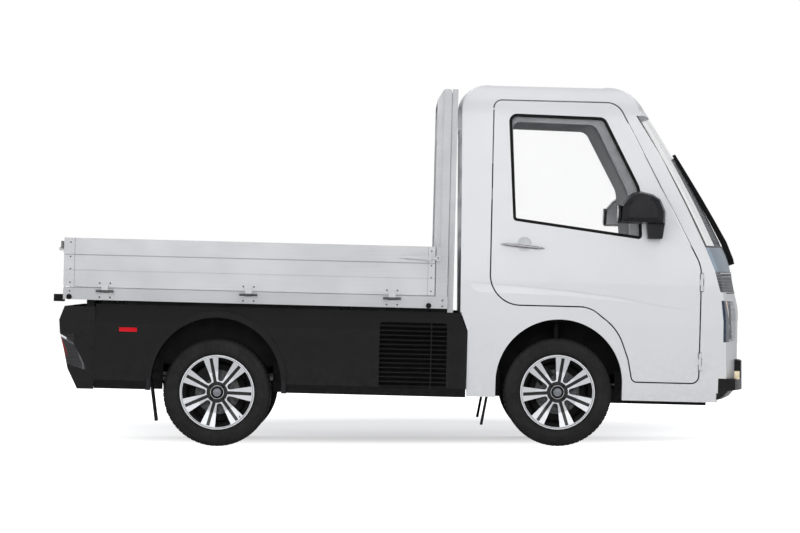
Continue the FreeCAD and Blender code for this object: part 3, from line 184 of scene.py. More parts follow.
def settle(thing, finish, body, placing=to_body):
    """Writes a piece's place into its mesh, gives it its finish and lets it ride on a body."""
    only(thing)
    bpy.ops.object.transform_apply(location=True, rotation=True, scale=True)
    thing.data.transform(placing)
    dress(thing, finish)
    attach(thing, body)


def copied(thing, name, side):
    """A copy with its own mesh; for the left it is mirrored about its own origin and its faces are turned out again."""
    copy = thing.copy()
    copy.data = thing.data.copy()
    copy.name = name
    bpy.context.scene.collection.objects.link(copy)
    if side > 0:
        copy.data.transform(Matrix.Scale(-1, 4, (0, 1, 0)))
        copy.data.flip_normals()
    return copy


def on_both_sides(part, name, finish, body):
    """Sets a right-hand piece and its mirror image; a body that ends in _ gets the side's name.

    Only a piece whose place is written into its mesh changes sides. Rivets, bolts, hinge sleeves, head posts, round
    lenses and their rings keep their place in the object, so both of their copies stay on the right.
    """
    pieces = []
    for label, side in BOTH:
        pieces.append(copied(part, name + label, side))
        settle(pieces[-1], finish, body + label if body.endswith("_") else body)
    bpy.data.objects.remove(part)
    return pieces


def joined(things, name):
    """Joins pieces into the first of them."""
    nothing()
    for thing in things:
        thing.select_set(True)
    bpy.context.view_layer.objects.active = things[0]
    bpy.ops.object.join()
    things[0].name = name
    return things[0]


def block(name, low, high):
    """A cube stretched between two corners, given in millimetres."""
    nothing()
    middle = mm(*[(a + b) / 2 for a, b in zip(low, high)])
    bpy.ops.mesh.primitive_cube_add(size=1, location=middle)
    thing = bpy.context.object
    thing.name = name
    thing.scale = mm(*[b - a for a, b in zip(low, high)])
    bpy.ops.object.transform_apply(location=True, rotation=False, scale=True)
    return thing


FACING_SIDE = (math.pi / 2, 0, 0)


def rod(sides, radius, depth, place, turn=(0, 0, 0)):
    """A cylinder in metres, upright or turned, whose object sits at its middle."""
    nothing()
    bpy.ops.mesh.primitive_cylinder_add(vertices=sides, radius=radius, depth=depth, location=place, rotation=turn)
    bpy.ops.object.transform_apply(location=False, rotation=True)
    return bpy.context.object


def squashed_ball(place, radius, scale, segments, rings):
    """A ball in metres, flattened by its scale, whose object sits at its middle."""
    nothing()
    bpy.ops.mesh.primitive_uv_sphere_add(segments=segments, ring_count=rings, radius=radius, location=place)
    ball = bpy.context.object
    ball.scale = scale
    bpy.ops.object.transform_apply(location=False, rotation=False, scale=True)
    return ball


print("helpers ready for", [label for label, side in BOTH], "sides")

# %% [markdown]
# ## The camera
#
# The photograph looks square at the truck's right side through a long lens: the wheels are round, and only a
# sliver of the far side shows. A 194 mm lens from 23.5 m away gives that look.

# %% Camera
nothing()
bpy.ops.object.camera_add(location=(-0.0083, -23.5, 0.950), rotation=(math.pi / 2, 0, 0))
camera = bpy.context.object
camera.name = "photo_camera"
camera.data.lens = 194.3
camera.data.sensor_width = 36
camera.data.clip_end = 200
bpy.context.scene.camera = camera
print("camera at", tuple(camera.location))

# %% [markdown]
# ## Mixing materials
#
# A finish is a network of nodes. Written out socket by socket it is long, so one small class wraps a socket and
# lets Python's own signs add the maths, and one method adds every other kind of node.


# %% The node toolkit
class Wire:
    """A node's output; sums written with it become Math nodes."""

    def __init__(self, board, socket):
        self.board = board
        self.socket = socket

    def maths(self, operation, other=0.0):
        return self.board.node("ShaderNodeMath", {"operation": operation}, {0: self, 1: other})

    def __add__(self, other):
        return self.maths("ADD", other)

    def __sub__(self, other):
        return self.maths("SUBTRACT", other)

    def __rsub__(self, other):
        return self.board.node("ShaderNodeMath", {"operation": "SUBTRACT"}, {0: other, 1: self})

    def __mul__(self, other):
        return self.maths("MULTIPLY", other)

    def __gt__(self, other):
        return self.maths("GREATER_THAN", other)

    def __lt__(self, other):
        return self.maths("LESS_THAN", other)

    def size(self):
        return self.maths("ABSOLUTE")

    def top(self, other):
        """The larger of two values; it joins two masks."""
        return self.maths("MAXIMUM", other)

    def wave(self, pitch):
        """A sine that repeats every pitch, in metres."""
        return (self * (2 * math.pi / pitch)).maths("SINE")

    __radd__ = __add__
    __rmul__ = __mul__


class Finish:
    """A material built one node at a time on the Principled shader."""

    def __init__(self, name, **sockets):
        self.material = bpy.data.materials.new(name)
        self.material.use_nodes = True
        self.tree = self.material.node_tree
        self.shader = self.tree.nodes["Principled BSDF"]
        self.set(**sockets)
        self.place = self.node("ShaderNodeTexCoord", out="Object")
        self.x, self.y, self.z = [
            self.node("ShaderNodeSeparateXYZ", inputs={0: self.place}, out=axis) for axis in "XYZ"
        ]

    def set(self, **sockets):
        for key, value in sockets.items():
            self.plug(self.shader.inputs[key.replace("_", " ")], value)

    def plug(self, socket, value):
        if isinstance(value, Wire):
            self.tree.links.new(value.socket, socket)
        elif socket.type == "RGBA":
            socket.default_value = (*value[:3], 1)
        else:
            socket.default_value = value

    def node(self, kind, settings=None, inputs=None, out=0):
        made = self.tree.nodes.new(kind)
        for key, value in (settings or {}).items():
            setattr(made, key, value)
        for key, value in (inputs or {}).items():
            self.plug(made.inputs[key], value)
        return Wire(self, made.outputs[out])

    def stretched(self, scale):
        return self.node("ShaderNodeMapping", inputs={"Vector": self.place, "Scale": scale})

    def noise(self, scale, detail=3.0, rough=0.5, vector=None):
        inputs = {"Vector": vector or self.place, "Scale": scale, "Detail": detail, "Roughness": rough}
        return self.node("ShaderNodeTexNoise", inputs=inputs)

    def cells(self, scale):
        return self.node("ShaderNodeTexVoronoi", inputs={"Vector": self.place, "Scale": scale})

    def ramp(self, amount, start, end, low=0.0, high=1.0):
        return self.node("ShaderNodeMapRange", inputs={0: amount, 1: start, 2: end, 3: low, 4: high})

    def between(self, amount, low, high):
        """Spreads a noise over low to high; most of it lies between 0.35 and 0.65."""
        return self.ramp(amount, 0.35, 0.65, low, high)

    def varied(self, low, high, *noise):
        """A value that wanders between low and high with a noise of this scale, detail and roughness."""
        return self.between(self.noise(*noise), low, high)

    def mixed(self, amount, first, second):
        return self.node("ShaderNodeMix", {"data_type": "RGBA"}, {0: amount, 6: first, 7: second}, out=2)

    def mottled(self, first, second, *noise):
        """A colour that wanders between two others."""
        return self.mixed(self.varied(0.0, 1.0, *noise), first, second)

    def bump(self, height, strength, distance):
        return self.node("ShaderNodeBump", inputs={"Height": height, "Strength": strength, "Distance": distance})


def shade(colour, factor):
    return tuple(channel * factor for channel in colour)


print("toolkit ready")

# %% [markdown]
# ## Stage and light
#
# The truck stands on a white sweep that reads as pure white. Big soft lamps above and beside the camera give smooth
# gradients over the panels. The white comes from what the camera ray sees, not from stronger lamps, so the paint keeps
# its tone. The soft grey shadow under and behind the truck is partly cast by the lamps and partly a painted shadow:
# the glow that the camera sees on the sweep is dimmed to grey in an oval round the truck.

# %% Floor and world
nothing()
bpy.ops.mesh.primitive_plane_add(size=60, location=(0, 0, 0))
floor = bpy.context.object
floor.name = "floor"
sweep = Finish("white_sweep", Base_Color=(0.74, 0.74, 0.74), Roughness=0.9, Specular_IOR_Level=0.0)
seen = sweep.node("ShaderNodeLightPath", out="Is Camera Ray")
# Painted shadow: the glow seen by the camera fades from white to dark grey inside an oval centred 2.1 m behind the
# truck.
along = sweep.x * 0.40
behind = (sweep.y - 2.1) * 0.40
outside_painted_shadow = sweep.ramp(along * along + behind * behind, 0.15, 1.15)
glow = sweep.mixed(outside_painted_shadow, (0.25, 0.25, 0.255), (1.0, 1.0, 1.0))
sweep.set(Emission_Color=sweep.mixed(seen, (0.05, 0.05, 0.05), glow), Emission_Strength=1.0)
floor.data.materials.append(sweep.material)

world = bpy.data.worlds.new("studio")
bpy.context.scene.world = world
world.use_nodes = True
sky = world.node_tree
path = sky.nodes.new("ShaderNodeLightPath")
white = sky.nodes.new("ShaderNodeMix")
white.data_type = "RGBA"
white.inputs[6].default_value = (0.46, 0.465, 0.48, 1)
white.inputs[7].default_value = (1, 1, 1, 1)
either = sky.nodes.new("ShaderNodeMath")
either.operation = "MAXIMUM"
sky.links.new(path.outputs["Is Camera Ray"], either.inputs[0])
sky.links.new(path.outputs["Is Transmission Ray"], either.inputs[1])
sky.links.new(either.outputs[0], white.inputs[0])
sky.links.new(white.outputs[2], sky.nodes["Background"].inputs["Color"])
print("floor and world ready")


# %% Lamps
def lamp(name, place, aim, size, power):
    nothing()
    bpy.ops.object.light_add(type="AREA", location=place)
    made = bpy.context.object
    made.name = name
    made.data.shape = "RECTANGLE"
    made.data.size, made.data.size_y = size
    made.data.energy = power
    made.rotation_euler = (Vector(aim) - Vector(place)).to_track_quat("-Z", "Y").to_euler()


lamp("overhead", (0, -1, 7), (0, 0, 0.5), (9, 6), 135)
lamp("side_soft", (-0.6, -9, 2.9), (0, 0, 0.8), (9, 3.6), 250)
lamp("front_soft", (7, -4, 2.2), (1.5, -0.4, 0.8), (3, 3), 45)
lamp("rear_soft", (-7, -4, 3.0), (-1.7, -0.5, 0.5), (2.5, 2.5), 45)
lamp("far_rim", (1, 8, 5), (0, 0, 1.0), (8, 3), 120)
bpy.context.scene.view_settings.view_transform = "Standard"

# %% [markdown]
# ## Cab paint
#
# The cab is glossy white: a pale, faintly cool coat under clear lacquer. Real paint isn't one flat tone, so the
# colour drifts a little over the panels, the lacquer has a fine orange-peel ripple, and road dust gathers low down.


# %% Paints
def car_paint(name, colour, dust=0.5):
    paint = Finish(name, Coat_Weight=0.7, Coat_Roughness=0.2, Specular_IOR_Level=0.4)
    toned = paint.mottled(shade(colour, 0.975), shade(colour, 1.015), 1.3, 2.0)
    dirt = paint.ramp(paint.z, 0.62, 0.26) * paint.varied(0.0, 1.0, 38, 5.0, 0.62) * dust
    paint.set(Base_Color=paint.mixed(dirt * 0.28, toned, (0.40, 0.38, 0.35)))
    paint.set(Roughness=paint.varied(0.28, 0.40, 9, 4.0) + dirt * 0.2)
    peel = paint.noise(420, 2.0)
    paint.set(Normal=paint.bump(peel + paint.noise(2.2, 1.0) * 6.0, 0.05, 0.0006))
    return paint.material


WHITE = (0.715, 0.722, 0.738)
cab_white = car_paint("cab_white_paint", WHITE)
cowl_blue_grey = car_paint("cowl_blue_grey_paint", (0.20, 0.265, 0.34), 0.2)
print("paints", cab_white.name, cowl_blue_grey.name)


# %% Plastics and rubber
def moulded(name, colour, rough, grain=900, depth=0.00012, dust=0.5):
    """Moulded plastic or rubber with a fine grain, handling marks and a little dust."""
    skin = Finish(name, Specular_IOR_Level=0.17)
    toned = skin.mottled(shade(colour, 0.88), shade(colour, 1.15), 6, 5.0, 0.6)
    dirt = skin.ramp(skin.z, 0.55, 0.15) * skin.varied(0.0, 1.0, 26, 6.0, 0.7) * dust
    skin.set(Base_Color=skin.mixed(dirt * 0.10, toned, (0.22, 0.21, 0.20)))
    skin.set(Roughness=skin.varied(rough - 0.06, rough + 0.08, 14, 4.0))
    skin.set(Normal=skin.bump(skin.cells(grain) + skin.noise(grain * 0.4, 2.0), 0.35, depth))
    return skin.material


satin_black = moulded("satin_black_plastic", (0.0045, 0.0042, 0.0048), 0.40)
matte_black = moulded("matte_black_plastic", (0.005, 0.0048, 0.005), 0.62)
chassis_black = moulded("chassis_black_paint", (0.006, 0.006, 0.0065), 0.5, 300, 0.0002, 1.0)
soft_rubber = moulded("soft_black_rubber", (0.0055, 0.0055, 0.006), 0.7, 500)
interior_grey = moulded("interior_grey_plastic", (0.085, 0.088, 0.093), 0.6, 700, 0.0002, 0.0)
mirror_black = moulded("mirror_black_plastic", (0.013, 0.0125, 0.015), 0.3, 900, 0.00008, 0.0)
bumper_black = moulded("bumper_black_plastic", (0.006, 0.0056, 0.0064), 0.3, 900, 0.00008)
lip_black = moulded("arch_lip_black", (0.013, 0.0128, 0.0158), 0.34, 900, 0.0001)
trim_grey = moulded("pillar_trim_grey", (0.36, 0.365, 0.375), 0.65, 700, 0.0002, 0.0)
print("plastics ready")


# %% [markdown]
# ## Bare metals
#
# The load bed is extruded aluminium with a dull anodised skin: faint lines run along each plank, and no two planks
# match quite. The rims are painted black and then turned on a lathe, which leaves bright faces over black pockets.

# %% Aluminium and steel
def body_place(board):
    """Length and height as on the upright drawing, in metres."""
    along = board.x - ORIGIN_X
    up = board.z - TYRE_R
    turn, lift = math.cos(LEAN), math.sin(LEAN)
    return along * turn - up * lift, along * lift + up * turn + TYRE_R


def near(value, middle, half):
    """A soft line of 1 where a value comes close to its middle."""
    off = (value - middle).size()
    return value.board.ramp(off, half, half * 0.4)


def extruded(name, colour, rough, painted_shade_seams=()):
    """Aluminium with drawn lines; dark lines of painted shade run along its seams, each with an axis, a place, a half
    width and a depth.
    """
    metal = Finish(name, Metallic=0.55, Specular_IOR_Level=0.4)
    lines = metal.noise(1.0, 4.0, 0.65, metal.stretched((2.5, 260, 420)))
    toned = metal.mixed(metal.between(lines, 0.0, 1.0), shade(colour, 0.95), shade(colour, 1.04))
    marks = metal.ramp(metal.noise(55, 6.0, 0.75, metal.stretched((0.35, 1, 1))), 0.66, 0.74)
    worn = metal.mixed(marks * 0.22, toned, shade(colour, 0.72))
    skin = metal.mixed(metal.varied(0.0, 0.35, 2.6, 4.0, 0.6), worn, shade(colour, 0.96))
    places = body_place(metal)
    # Painted shade: each seam darkens the metal towards a third of its tone along a narrow line.
    for axis, place, half, depth in painted_shade_seams:
        skin = metal.mixed(near(places[axis], place, half) * depth, skin, shade(colour, 0.30))
    metal.set(Base_Color=skin)
    metal.set(Roughness=metal.varied(rough - 0.05, rough + 0.09, 5, 5.0))
    metal.set(Normal=metal.bump(lines, 0.16, 0.0004))
    return metal.material


ALONG, UP = 0, 1
# The board's seams are its two grooves and the edges of its end strips; their dark lines are painted shade.
board_metal = extruded("board_aluminium", (0.535, 0.54, 0.55), 0.42, [
    (UP, 0.9695, 0.004, 0.55), (UP, 0.8885, 0.0035, 0.22), (ALONG, -1.765, 0.003, 0.4), (ALONG, 0.101, 0.003, 0.4),
])
rail_metal = extruded("rail_aluminium", (0.46, 0.465, 0.475), 0.42)


def steel_like(name, colour, rough, metallic=1.0, scale=1.0):
    """Steel with brushed or cast variation."""
    metal = Finish(name, Metallic=metallic)
    metal.set(Base_Color=metal.mottled(shade(colour, 0.78), shade(colour, 1.08), 30 * scale, 6.0, 0.65))
    metal.set(Roughness=metal.varied(rough - 0.05, rough + 0.12, 60 * scale, 4.0))
    metal.set(Normal=metal.bump(metal.noise(180 * scale, 3.0), 0.12, 0.0003))
    return metal.material


zinc_steel = steel_like("zinc_plated_steel", (0.62, 0.63, 0.65), 0.3)
dull_steel = steel_like("dull_forged_steel", (0.22, 0.22, 0.225), 0.45)
chrome = steel_like("polished_chrome", (0.80, 0.81, 0.83), 0.10, 1.0, 0.4)
# A pale, mostly matt face: its colour is a painted reflection of the white studio, with a little real metallic sheen.
pale_painted_reflection = steel_like("pale_mirror_painted_reflection", (0.86, 0.87, 0.89), 0.4, 0.25, 0.2)
mirror_silver = steel_like("mirror_silver", (0.88, 0.89, 0.90), 0.05, 1.0, 0.2)
grey_cap = steel_like("hub_cap_grey", (0.20, 0.21, 0.23), 0.35, 0.8)


def grip_chrome():
    """Satin chrome whose underside is painted dark brown-grey: a painted reflection of the ground in the shade under
    the grip.
    """
    metal = Finish("door_handle_chrome", Metallic=0.9)
    x, z = body_place(metal)
    over = x * 0.0766 + z - 1.1188
    # Below the grip's middle line the colour turns dark brown-grey, painted shade and ground reflection; above it stays
    # grey.
    painted_underside_tone = metal.mixed(metal.ramp(over, -0.006, 0.004), (0.13, 0.115, 0.11), (0.46, 0.46, 0.48))
    metal.set(Base_Color=metal.mixed(metal.varied(0.0, 0.25, 60, 4.0), painted_underside_tone, (0.6, 0.6, 0.62)))
    metal.set(Roughness=metal.varied(0.24, 0.34, 90, 3.0))
    metal.set(Normal=metal.bump(metal.noise(240, 2.0), 0.08, 0.0002))
    return metal.material


handle_chrome = grip_chrome()
print("metals ready")


# %% Turned rims
WHEEL_Y = 0.605
FACE_IN, FACE_MID, FACE_OUT = 0.062, 0.060, 0.070
HUB_R, SPOKE_R, FACE_R, LIP_R, DISC_R = 0.056, 0.110, 0.1885, 0.1905, 0.1185
WHEELS = {
    "front_right": (0.802, -1), "front_left": (0.802, 1), "rear_right": (-0.998, -1), "rear_left": (-0.998, 1),
}


def turned_rim(name, axle_x, side):
    """Bright where the lathe cut the outer face, black in every pocket, grey on the brake disc."""
    rim = Finish("turned_rim_" + name, Coat_Roughness=0.12, Specular_IOR_Level=0.3)
    along = rim.x - (axle_x + ORIGIN_X)
    up = rim.z - TYRE_R
    square = along * along + up * up
    radius = square.maths("SQRT")
    out = rim.y * side - WHEEL_Y
    slope = rim.ramp(radius, SPOKE_R, 0.187, FACE_MID, FACE_OUT)
    flat = rim.ramp(radius, 0.058, SPOKE_R, FACE_IN - FACE_MID, 0.0)
    face = (out > slope + flat - 0.0022) * (radius > HUB_R) * (radius < FACE_R)
    bright = face.top((out > 0.0722) * (radius > LIP_R))
    disc = (out < 0.030) * (radius < DISC_R)
    rings = rim.noise(1.0, 2.0, 0.5, rim.node("ShaderNodeCombineXYZ", inputs={0: radius * 900.0}))
    silver = rim.mixed(rim.between(rings, 0.0, 1.0), (0.56, 0.57, 0.59), (0.72, 0.73, 0.75))
    black = rim.mottled((0.003, 0.003, 0.0032), (0.006, 0.006, 0.0065), 24, 4.0)
    iron = rim.mottled((0.035, 0.035, 0.037), (0.11, 0.11, 0.115), 45, 5.0)
    rim.set(Base_Color=rim.mixed(bright, rim.mixed(disc, black, iron), silver))
    metal = bright.top(disc)
    rim.set(Metallic=metal * 0.6, Coat_Weight=0.3 - metal * 0.1, Roughness=0.36)
    rim.set(Normal=rim.bump(rings, 0.08, 0.0003))
    return rim.material


for name, (axle_x, side) in WHEELS.items():
    dress(nodes["rim_" + name], turned_rim(name, axle_x, side))
print("rims", len(WHEELS))

# %% [markdown]
# ## Glass, and which finish goes where
#
# The windows are thin and clear, so light passes straight through: a mostly see-through surface that shows more
# towards grazing angles, with a trace of smears. After that, a table gives every plain CAD node its finish.

# %% Door glass
window = Finish("clear_window_glass", Base_Color=(0.35, 0.40, 0.41), Specular_IOR_Level=0.6)
grazing = window.node("ShaderNodeLayerWeight", inputs={"Blend": 0.25}, out="Facing")
window.set(Alpha=grazing * 0.538 + 0.012 + window.varied(0.0, 0.008, 7, 5.0, 0.6))
window.set(Roughness=window.varied(0.02, 0.05, 5, 3.0))
window_glass = window.material
print("glass", window_glass.name)

# %% Which finish goes where
FINISHES = {
    cab_white: ["cab_sides", "cab_roof", "cab_rear_wall", "front_panel", "door_right", "door_left"],
    cowl_blue_grey: ["cowl_panel"],
    satin_black: ["skirts", "skirt_grilles"],
    bumper_black: ["rear_bumper", "front_bumper"],
    mirror_black: ["mirror_right", "mirror_left"],
    chassis_black: ["chassis_frame", "battery_case", "bed_subframe", "cab_floor", "front_suspension", "rear_axle",
                    "knuckle_right", "knuckle_left"],
    soft_rubber: ["rubber_parts"],
    interior_grey: ["dashboard", "seats", "mesh_panel"],
    rail_metal: ["bed_floor", "headboard"],
    board_metal: ["side_board_right", "side_board_left", "tailgate"],
    dull_steel: ["leaf_springs"],
    handle_chrome: ["door_handle_right", "door_handle_left"],
    window_glass: ["cab_glass", "door_glass_right", "door_glass_left"],
    matte_black: ["arch_liners", "wipers", "steering_wheel", "driver_controls"] + ["tyre_" + name for name in WHEELS],
}
for finish, names in FINISHES.items():
    for name in names:
        dress(nodes[name], finish)
print("finished nodes", sum(len(names) for names in FINISHES.values()) + len(WHEELS))

# %% [markdown]
# ## Tyres
#
# A tyre is a moulded ring: a rounded side wall with fine rings on it, a flat tread cut by grooves, and blocks that
# show as notches at the shoulder. The carcass is a section spun round the axle. One pitch of the tread is modelled
# from blocks and then spun round as copies. No lettering goes on the side wall.

# %% Carcass
TYRE_SECTION = [
    (189, -68.4), (199.5, -68.4), (201.5, -72), (206, -76.5), (211.5, -77.5), (213, -79.6), (222, -81.6),
    (234, -82.1), (246, -81.2), (247.2, -80.2), (251, -79.8), (252.2, -80.0), (260, -78.2), (270, -76.2),
    (277, -72.5), (281, -66), (281.2, 0),
]


def spun_ring(name, section, steps):
    """Spins a closed section of radius and offset, in millimetres, once round the wheel's axle."""
    thing = trace(name, [mm(0, offset, -radius) for radius, offset in section])
    bpy.ops.mesh.spin(steps=steps, angle=2 * math.pi, center=(0, 0, 0), axis=(0, 1, 0))
    bpy.ops.mesh.select_all(action="SELECT")
    bpy.ops.mesh.remove_doubles(threshold=0.00001)
    outwards()
    smooth()
    return thing


whole_section = TYRE_SECTION + [(r, -a) for r, a in reversed(TYRE_SECTION[:-1])]
carcass = spun_ring("carcass", whole_section, 96)
print("carcass faces", len(carcass.data.polygons))

# %% Tread
PITCHES = 66
TREAD_ROWS = [(-66, -44, 0), (-38, -15, 4), (-9, 9, -4), (15, 38, 4), (44, 66, 0)]
SHOULDER_Y = 60


def tread_block(low, high, skew):
    """One rubber block; the outer corners of a shoulder block are drawn up the side wall."""
    piece = block("tread_block", (-11.2, low, -284.7), (11.2, high, -276.5))
    editing(piece)
    edge = max(low, high, key=abs)
    if abs(edge) > SHOULDER_Y:
        pick("VERT", lambda p: abs(p.y - edge / 1000) < 1e-4 and p.z > -0.28)
        bpy.ops.transform.translate(value=mm(0, math.copysign(11, edge), 9))
    pick("VERT", lambda p: p.y > (low + high) / 2000)
    bpy.ops.transform.translate(value=mm(skew, 0, 0))
    outwards()
    soften(piece, 0.0009, 1)
    return piece


pitch = joined([tread_block(*row) for row in TREAD_ROWS], "tread")
editing(pitch)
bpy.ops.mesh.spin(
    steps=PITCHES - 1, dupli=True, angle=2 * math.pi * (PITCHES - 1) / PITCHES, center=(0, 0, 0), axis=(0, 1, 0)
)
nothing()
tyre = joined([carcass, pitch], "tyre_shape")
smooth()
print("tyre triangles", sum(len(f.vertices) - 2 for f in tyre.data.polygons))


# %% Tyre finish
def tyre_rubber():
    rubber = Finish("tyre_rubber", Specular_IOR_Level=0.22)
    toned = rubber.mottled((0.0055, 0.0052, 0.0055), (0.0105, 0.010, 0.0105), 11, 5.0, 0.6)
    dust = rubber.varied(0.0, 0.10, 70, 5.0, 0.7)
    rubber.set(Base_Color=rubber.mixed(dust, toned, (0.07, 0.065, 0.06)))
    rubber.set(Roughness=rubber.varied(0.52, 0.68, 20, 3.0))
    rubber.set(Normal=rubber.bump(rubber.cells(1400), 0.3, 0.0001))
    return rubber.material


def rolling(wheel):
    return "wheel_" + wheel


def on_wheels(part, name, finish, body=rolling):
    """Sets a piece, modelled on the right side round the origin, at all four axle ends."""
    only(part)
    bpy.ops.object.transform_apply(location=True)
    pieces = {}
    for wheel, (axle_x, side) in WHEELS.items():
        pieces[wheel] = copied(part, name + wheel, side)
        pieces[wheel].data.transform(Matrix.Translation((axle_x, side * WHEEL_Y, TYRE_R)))
        settle(pieces[wheel], finish, body(wheel), to_level)
    bpy.data.objects.remove(part)
    return pieces


for name, piece in on_wheels(tyre, "tyre_tread_", tyre_rubber()).items():
    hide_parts("tyre_" + name)
print("tyres on", len(WHEELS), "wheels")

# %% [markdown]
# ## Wheel centres
#
# In the middle of each rim sits a grey cap in a black ring and a thin bright one, with four black wheel nuts round
# them and a rubber valve stem near the lip. Cap and rings are spun sections, and a nut is a six-sided cylinder with
# beveled ends.

# %% Caps, nuts and valves
NUT_CIRCLE_R = 0.0435
cap = spun_ring("cap", [(21, -67), (22, -70.6), (25, -70.0), (29.5, -66), (30, -60.5), (21, -60.5)], 48)
thin_ring = spun_ring("thin_ring", [(33, -60.5), (33.6, -64.6), (35.6, -64.6), (36.2, -60.5)], 64)
dish = spun_ring("dish", [(0, -69.4), (8, -69.2), (15, -68.2), (21.3, -68.6), (21.3, -60.5), (0, -60.5)], 48)


def wheel_nut(turn):
    spot = (NUT_CIRCLE_R * math.sin(turn), -0.0600, NUT_CIRCLE_R * math.cos(turn))
    nut = rod(6, 0.0085, 0.014, spot, FACING_SIDE)
    soften(nut, 0.0014, 2)
    return nut


nuts = joined([wheel_nut(math.radians(45 + 90 * i)) for i in range(4)], "nuts")
valve = rod(16, 0.0042, 0.030, (0.120, -0.066, -0.128), FACING_SIDE)
editing(valve)
pick("VERT", lambda p: p.y < -0.01)
bpy.ops.transform.resize(value=(0.7, 1, 1))
outwards()
soften(valve, 0.001, 2)
on_wheels(cap, "hub_cap_ring_", satin_black)
on_wheels(dish, "hub_cap_", grey_cap)
on_wheels(thin_ring, "hub_thin_ring_", zinc_steel)
on_wheels(nuts, "wheel_nuts_", satin_black)
on_wheels(valve, "valve_", soft_rubber)
print("wheel centres done")

# %% [markdown]
# ## Door glass seals and inner frames
#
# Each door window sits in a black rubber channel, and behind it the door's inner frame is covered in grey trim
# whose opening is smaller than the glass. Both are rings that follow the door's curve. The outline is traced with
# sharp corners, each corner is rounded by a vertex bevel, and the ring is then pushed to its depth.

# %% Rings that follow the door
WINDOW = [(509, 1775, 42), (1018, 1766, 46), (1213, 1395, 120), (1229, 1123, 20), (545, 1207, 22)]
TRIM_HOLE = [(532, 1731, 34), (968, 1724, 52), (1146, 1398, 90), (1172, 1140, 20), (560, 1213, 20)]
RAYS = 200
BESIDE_WINDOW_X = 0.455
door_curve = {}


def door_y(z):
    """How far out the door's skin stands at a height, measured on the CAD door, with 200 rays to a metre."""
    key = round(z * RAYS)
    if key not in door_curve:
        start = to_body @ Vector((BESIDE_WINDOW_X, -1.2, key / RAYS))
        hit, spot, normal, face = nodes["door_right"].ray_cast(start, Vector((0, 1, 0)))
        door_curve[key] = -spot.y if hit else 0.7
    return door_curve[key]


def side_ring(name, corners):
    """A filled outline in side view whose corners are rounded to their radii."""
    spots = [mm(x, 0, z) for x, z, radius in corners]
    thing = trace(name, spots)
    for i, (x, z, radius) in enumerate(corners):
        before, after = spots[i - 1], spots[(i + 1) % len(spots)]
        half = (before - spots[i]).angle(after - spots[i]) / 2
        round_corner(spots[i], radius / 1000 / math.tan(half), 7)
    return thing


def follow_door(thing):
    """Shifts each vertex so that offset 0 lies on the door's outer skin."""
    for vertex in thing.data.vertices:
        z = vertex.co.z
        low, high = math.floor(z * RAYS) / RAYS, math.ceil(z * RAYS) / RAYS
        share = (z - low) * RAYS
        vertex.co.y -= door_y(low) * (1 - share) + door_y(high) * share
    thing.data.update()


seal = side_ring("seal", WINDOW)
bpy.ops.mesh.edge_face_add()
bpy.ops.transform.translate(value=mm(0, 3, 0))
bpy.ops.mesh.inset(thickness=0.016)
bpy.ops.mesh.delete(type="FACE")
bpy.ops.mesh.select_all(action="SELECT")
push(mm(0, 15.5, 0))
outwards()
soften(seal, 0.002, 2)
follow_door(seal)

trim = joined([side_ring("trim_out", WINDOW), side_ring("trim_in", TRIM_HOLE)], "trim")
editing(trim)
bpy.ops.mesh.bridge_edge_loops()
bpy.ops.mesh.select_all(action="SELECT")
bpy.ops.transform.translate(value=mm(0, 27, 0))
push(mm(0, 19, 0))
outwards()
soften(trim, 0.003, 3)
follow_door(trim)
print("rings", len(seal.data.polygons), len(trim.data.polygons))

# %% Seals and trims on both doors
on_both_sides(seal, "window_seal_", soft_rubber, "door_")
on_both_sides(trim, "window_trim_", trim_grey, "door_")
print("door rings placed")

# %% [markdown]
# ## Behind the wheels
#
# The brake discs have dark dust shields behind them, spun like the caps. The front shields steer with the knuckles
# and the rear ones stay with the axle. Dark sheets with pressed beads close the wheel arches beside the tyres, and
# one more on each side sits behind the louvres, so that no light shows through them; their black also stands in for
# the shade deep in the arches and behind the louvres.

# %% Dust shields
SHIELD_SECTION = [(52, 26), (100, 26), (104, 29), (148, 29), (155, 24), (157, 26), (150, 32), (52, 32)]


def axle_end(wheel):
    """The body behind a wheel."""
    end, label = wheel.split("_")
    return "knuckle_" + label if end == "front" else "truck"


on_wheels(spun_ring("shield", SHIELD_SECTION, 64), "dust_shield_", matte_black, axle_end)
print("dust shields", len(WHEELS))


# %% Sheets in the arches and behind the louvres
def liner_sheet(name, low, high, beads):
    """A thin upright sheet with beads pressed into its outer face."""
    sheet = block(name, low, high)
    editing(sheet)
    cut_across(2, steps_between(low[2], high[2], beads))
    pick("FACE", lambda p: abs(p.y - low[1] / 1000) < 1e-4)
    bpy.ops.mesh.inset(thickness=0.006, use_individual=True)
    push(mm(0, 3, 0))
    outwards()
    soften(sheet, 0.001, 2)
    return sheet


# Matte black sheets shaped like real arch and louvre backing panels; their black also stands in for the shade there.
sheets = joined([
    liner_sheet("front_arch_rear", (436, -560, 274), (499, -554, 416), 3),
    liner_sheet("front_arch_front", (1107, -560, 274), (1178, -554, 416), 3),
    liner_sheet("rear_arch_rear", (-1352, -560, 266), (-1292, -554, 424), 3),
    liner_sheet("rear_arch_front", (-706, -560, 266), (-652, -554, 424), 3),
    liner_sheet("behind_grille", (-165, -674, 300), (230, -668, 660), 4),
], "liner_sheets")
print("sheet faces", len(sheets.data.polygons))
on_both_sides(sheets, "arch_side_", matte_black, "truck")

# %% [markdown]
# ## Headlamps
#
# Each headlamp wraps round the cab's corner: a clear cover over a navy bowl, two round projector lenses in chrome
# rings, a ribbed amber corner lamp and a white light bar below. The bowl is traced in plan behind the cover and
# pushed up to its height, and its front faces are then inset and pushed in.

# %% Bowl and lenses
LAMP_PLAN = [(-697, 1660), (-690, 1669), (-655, 1684), (-600, 1699), (-530, 1718), (-470, 1731), (-452, 1734)]


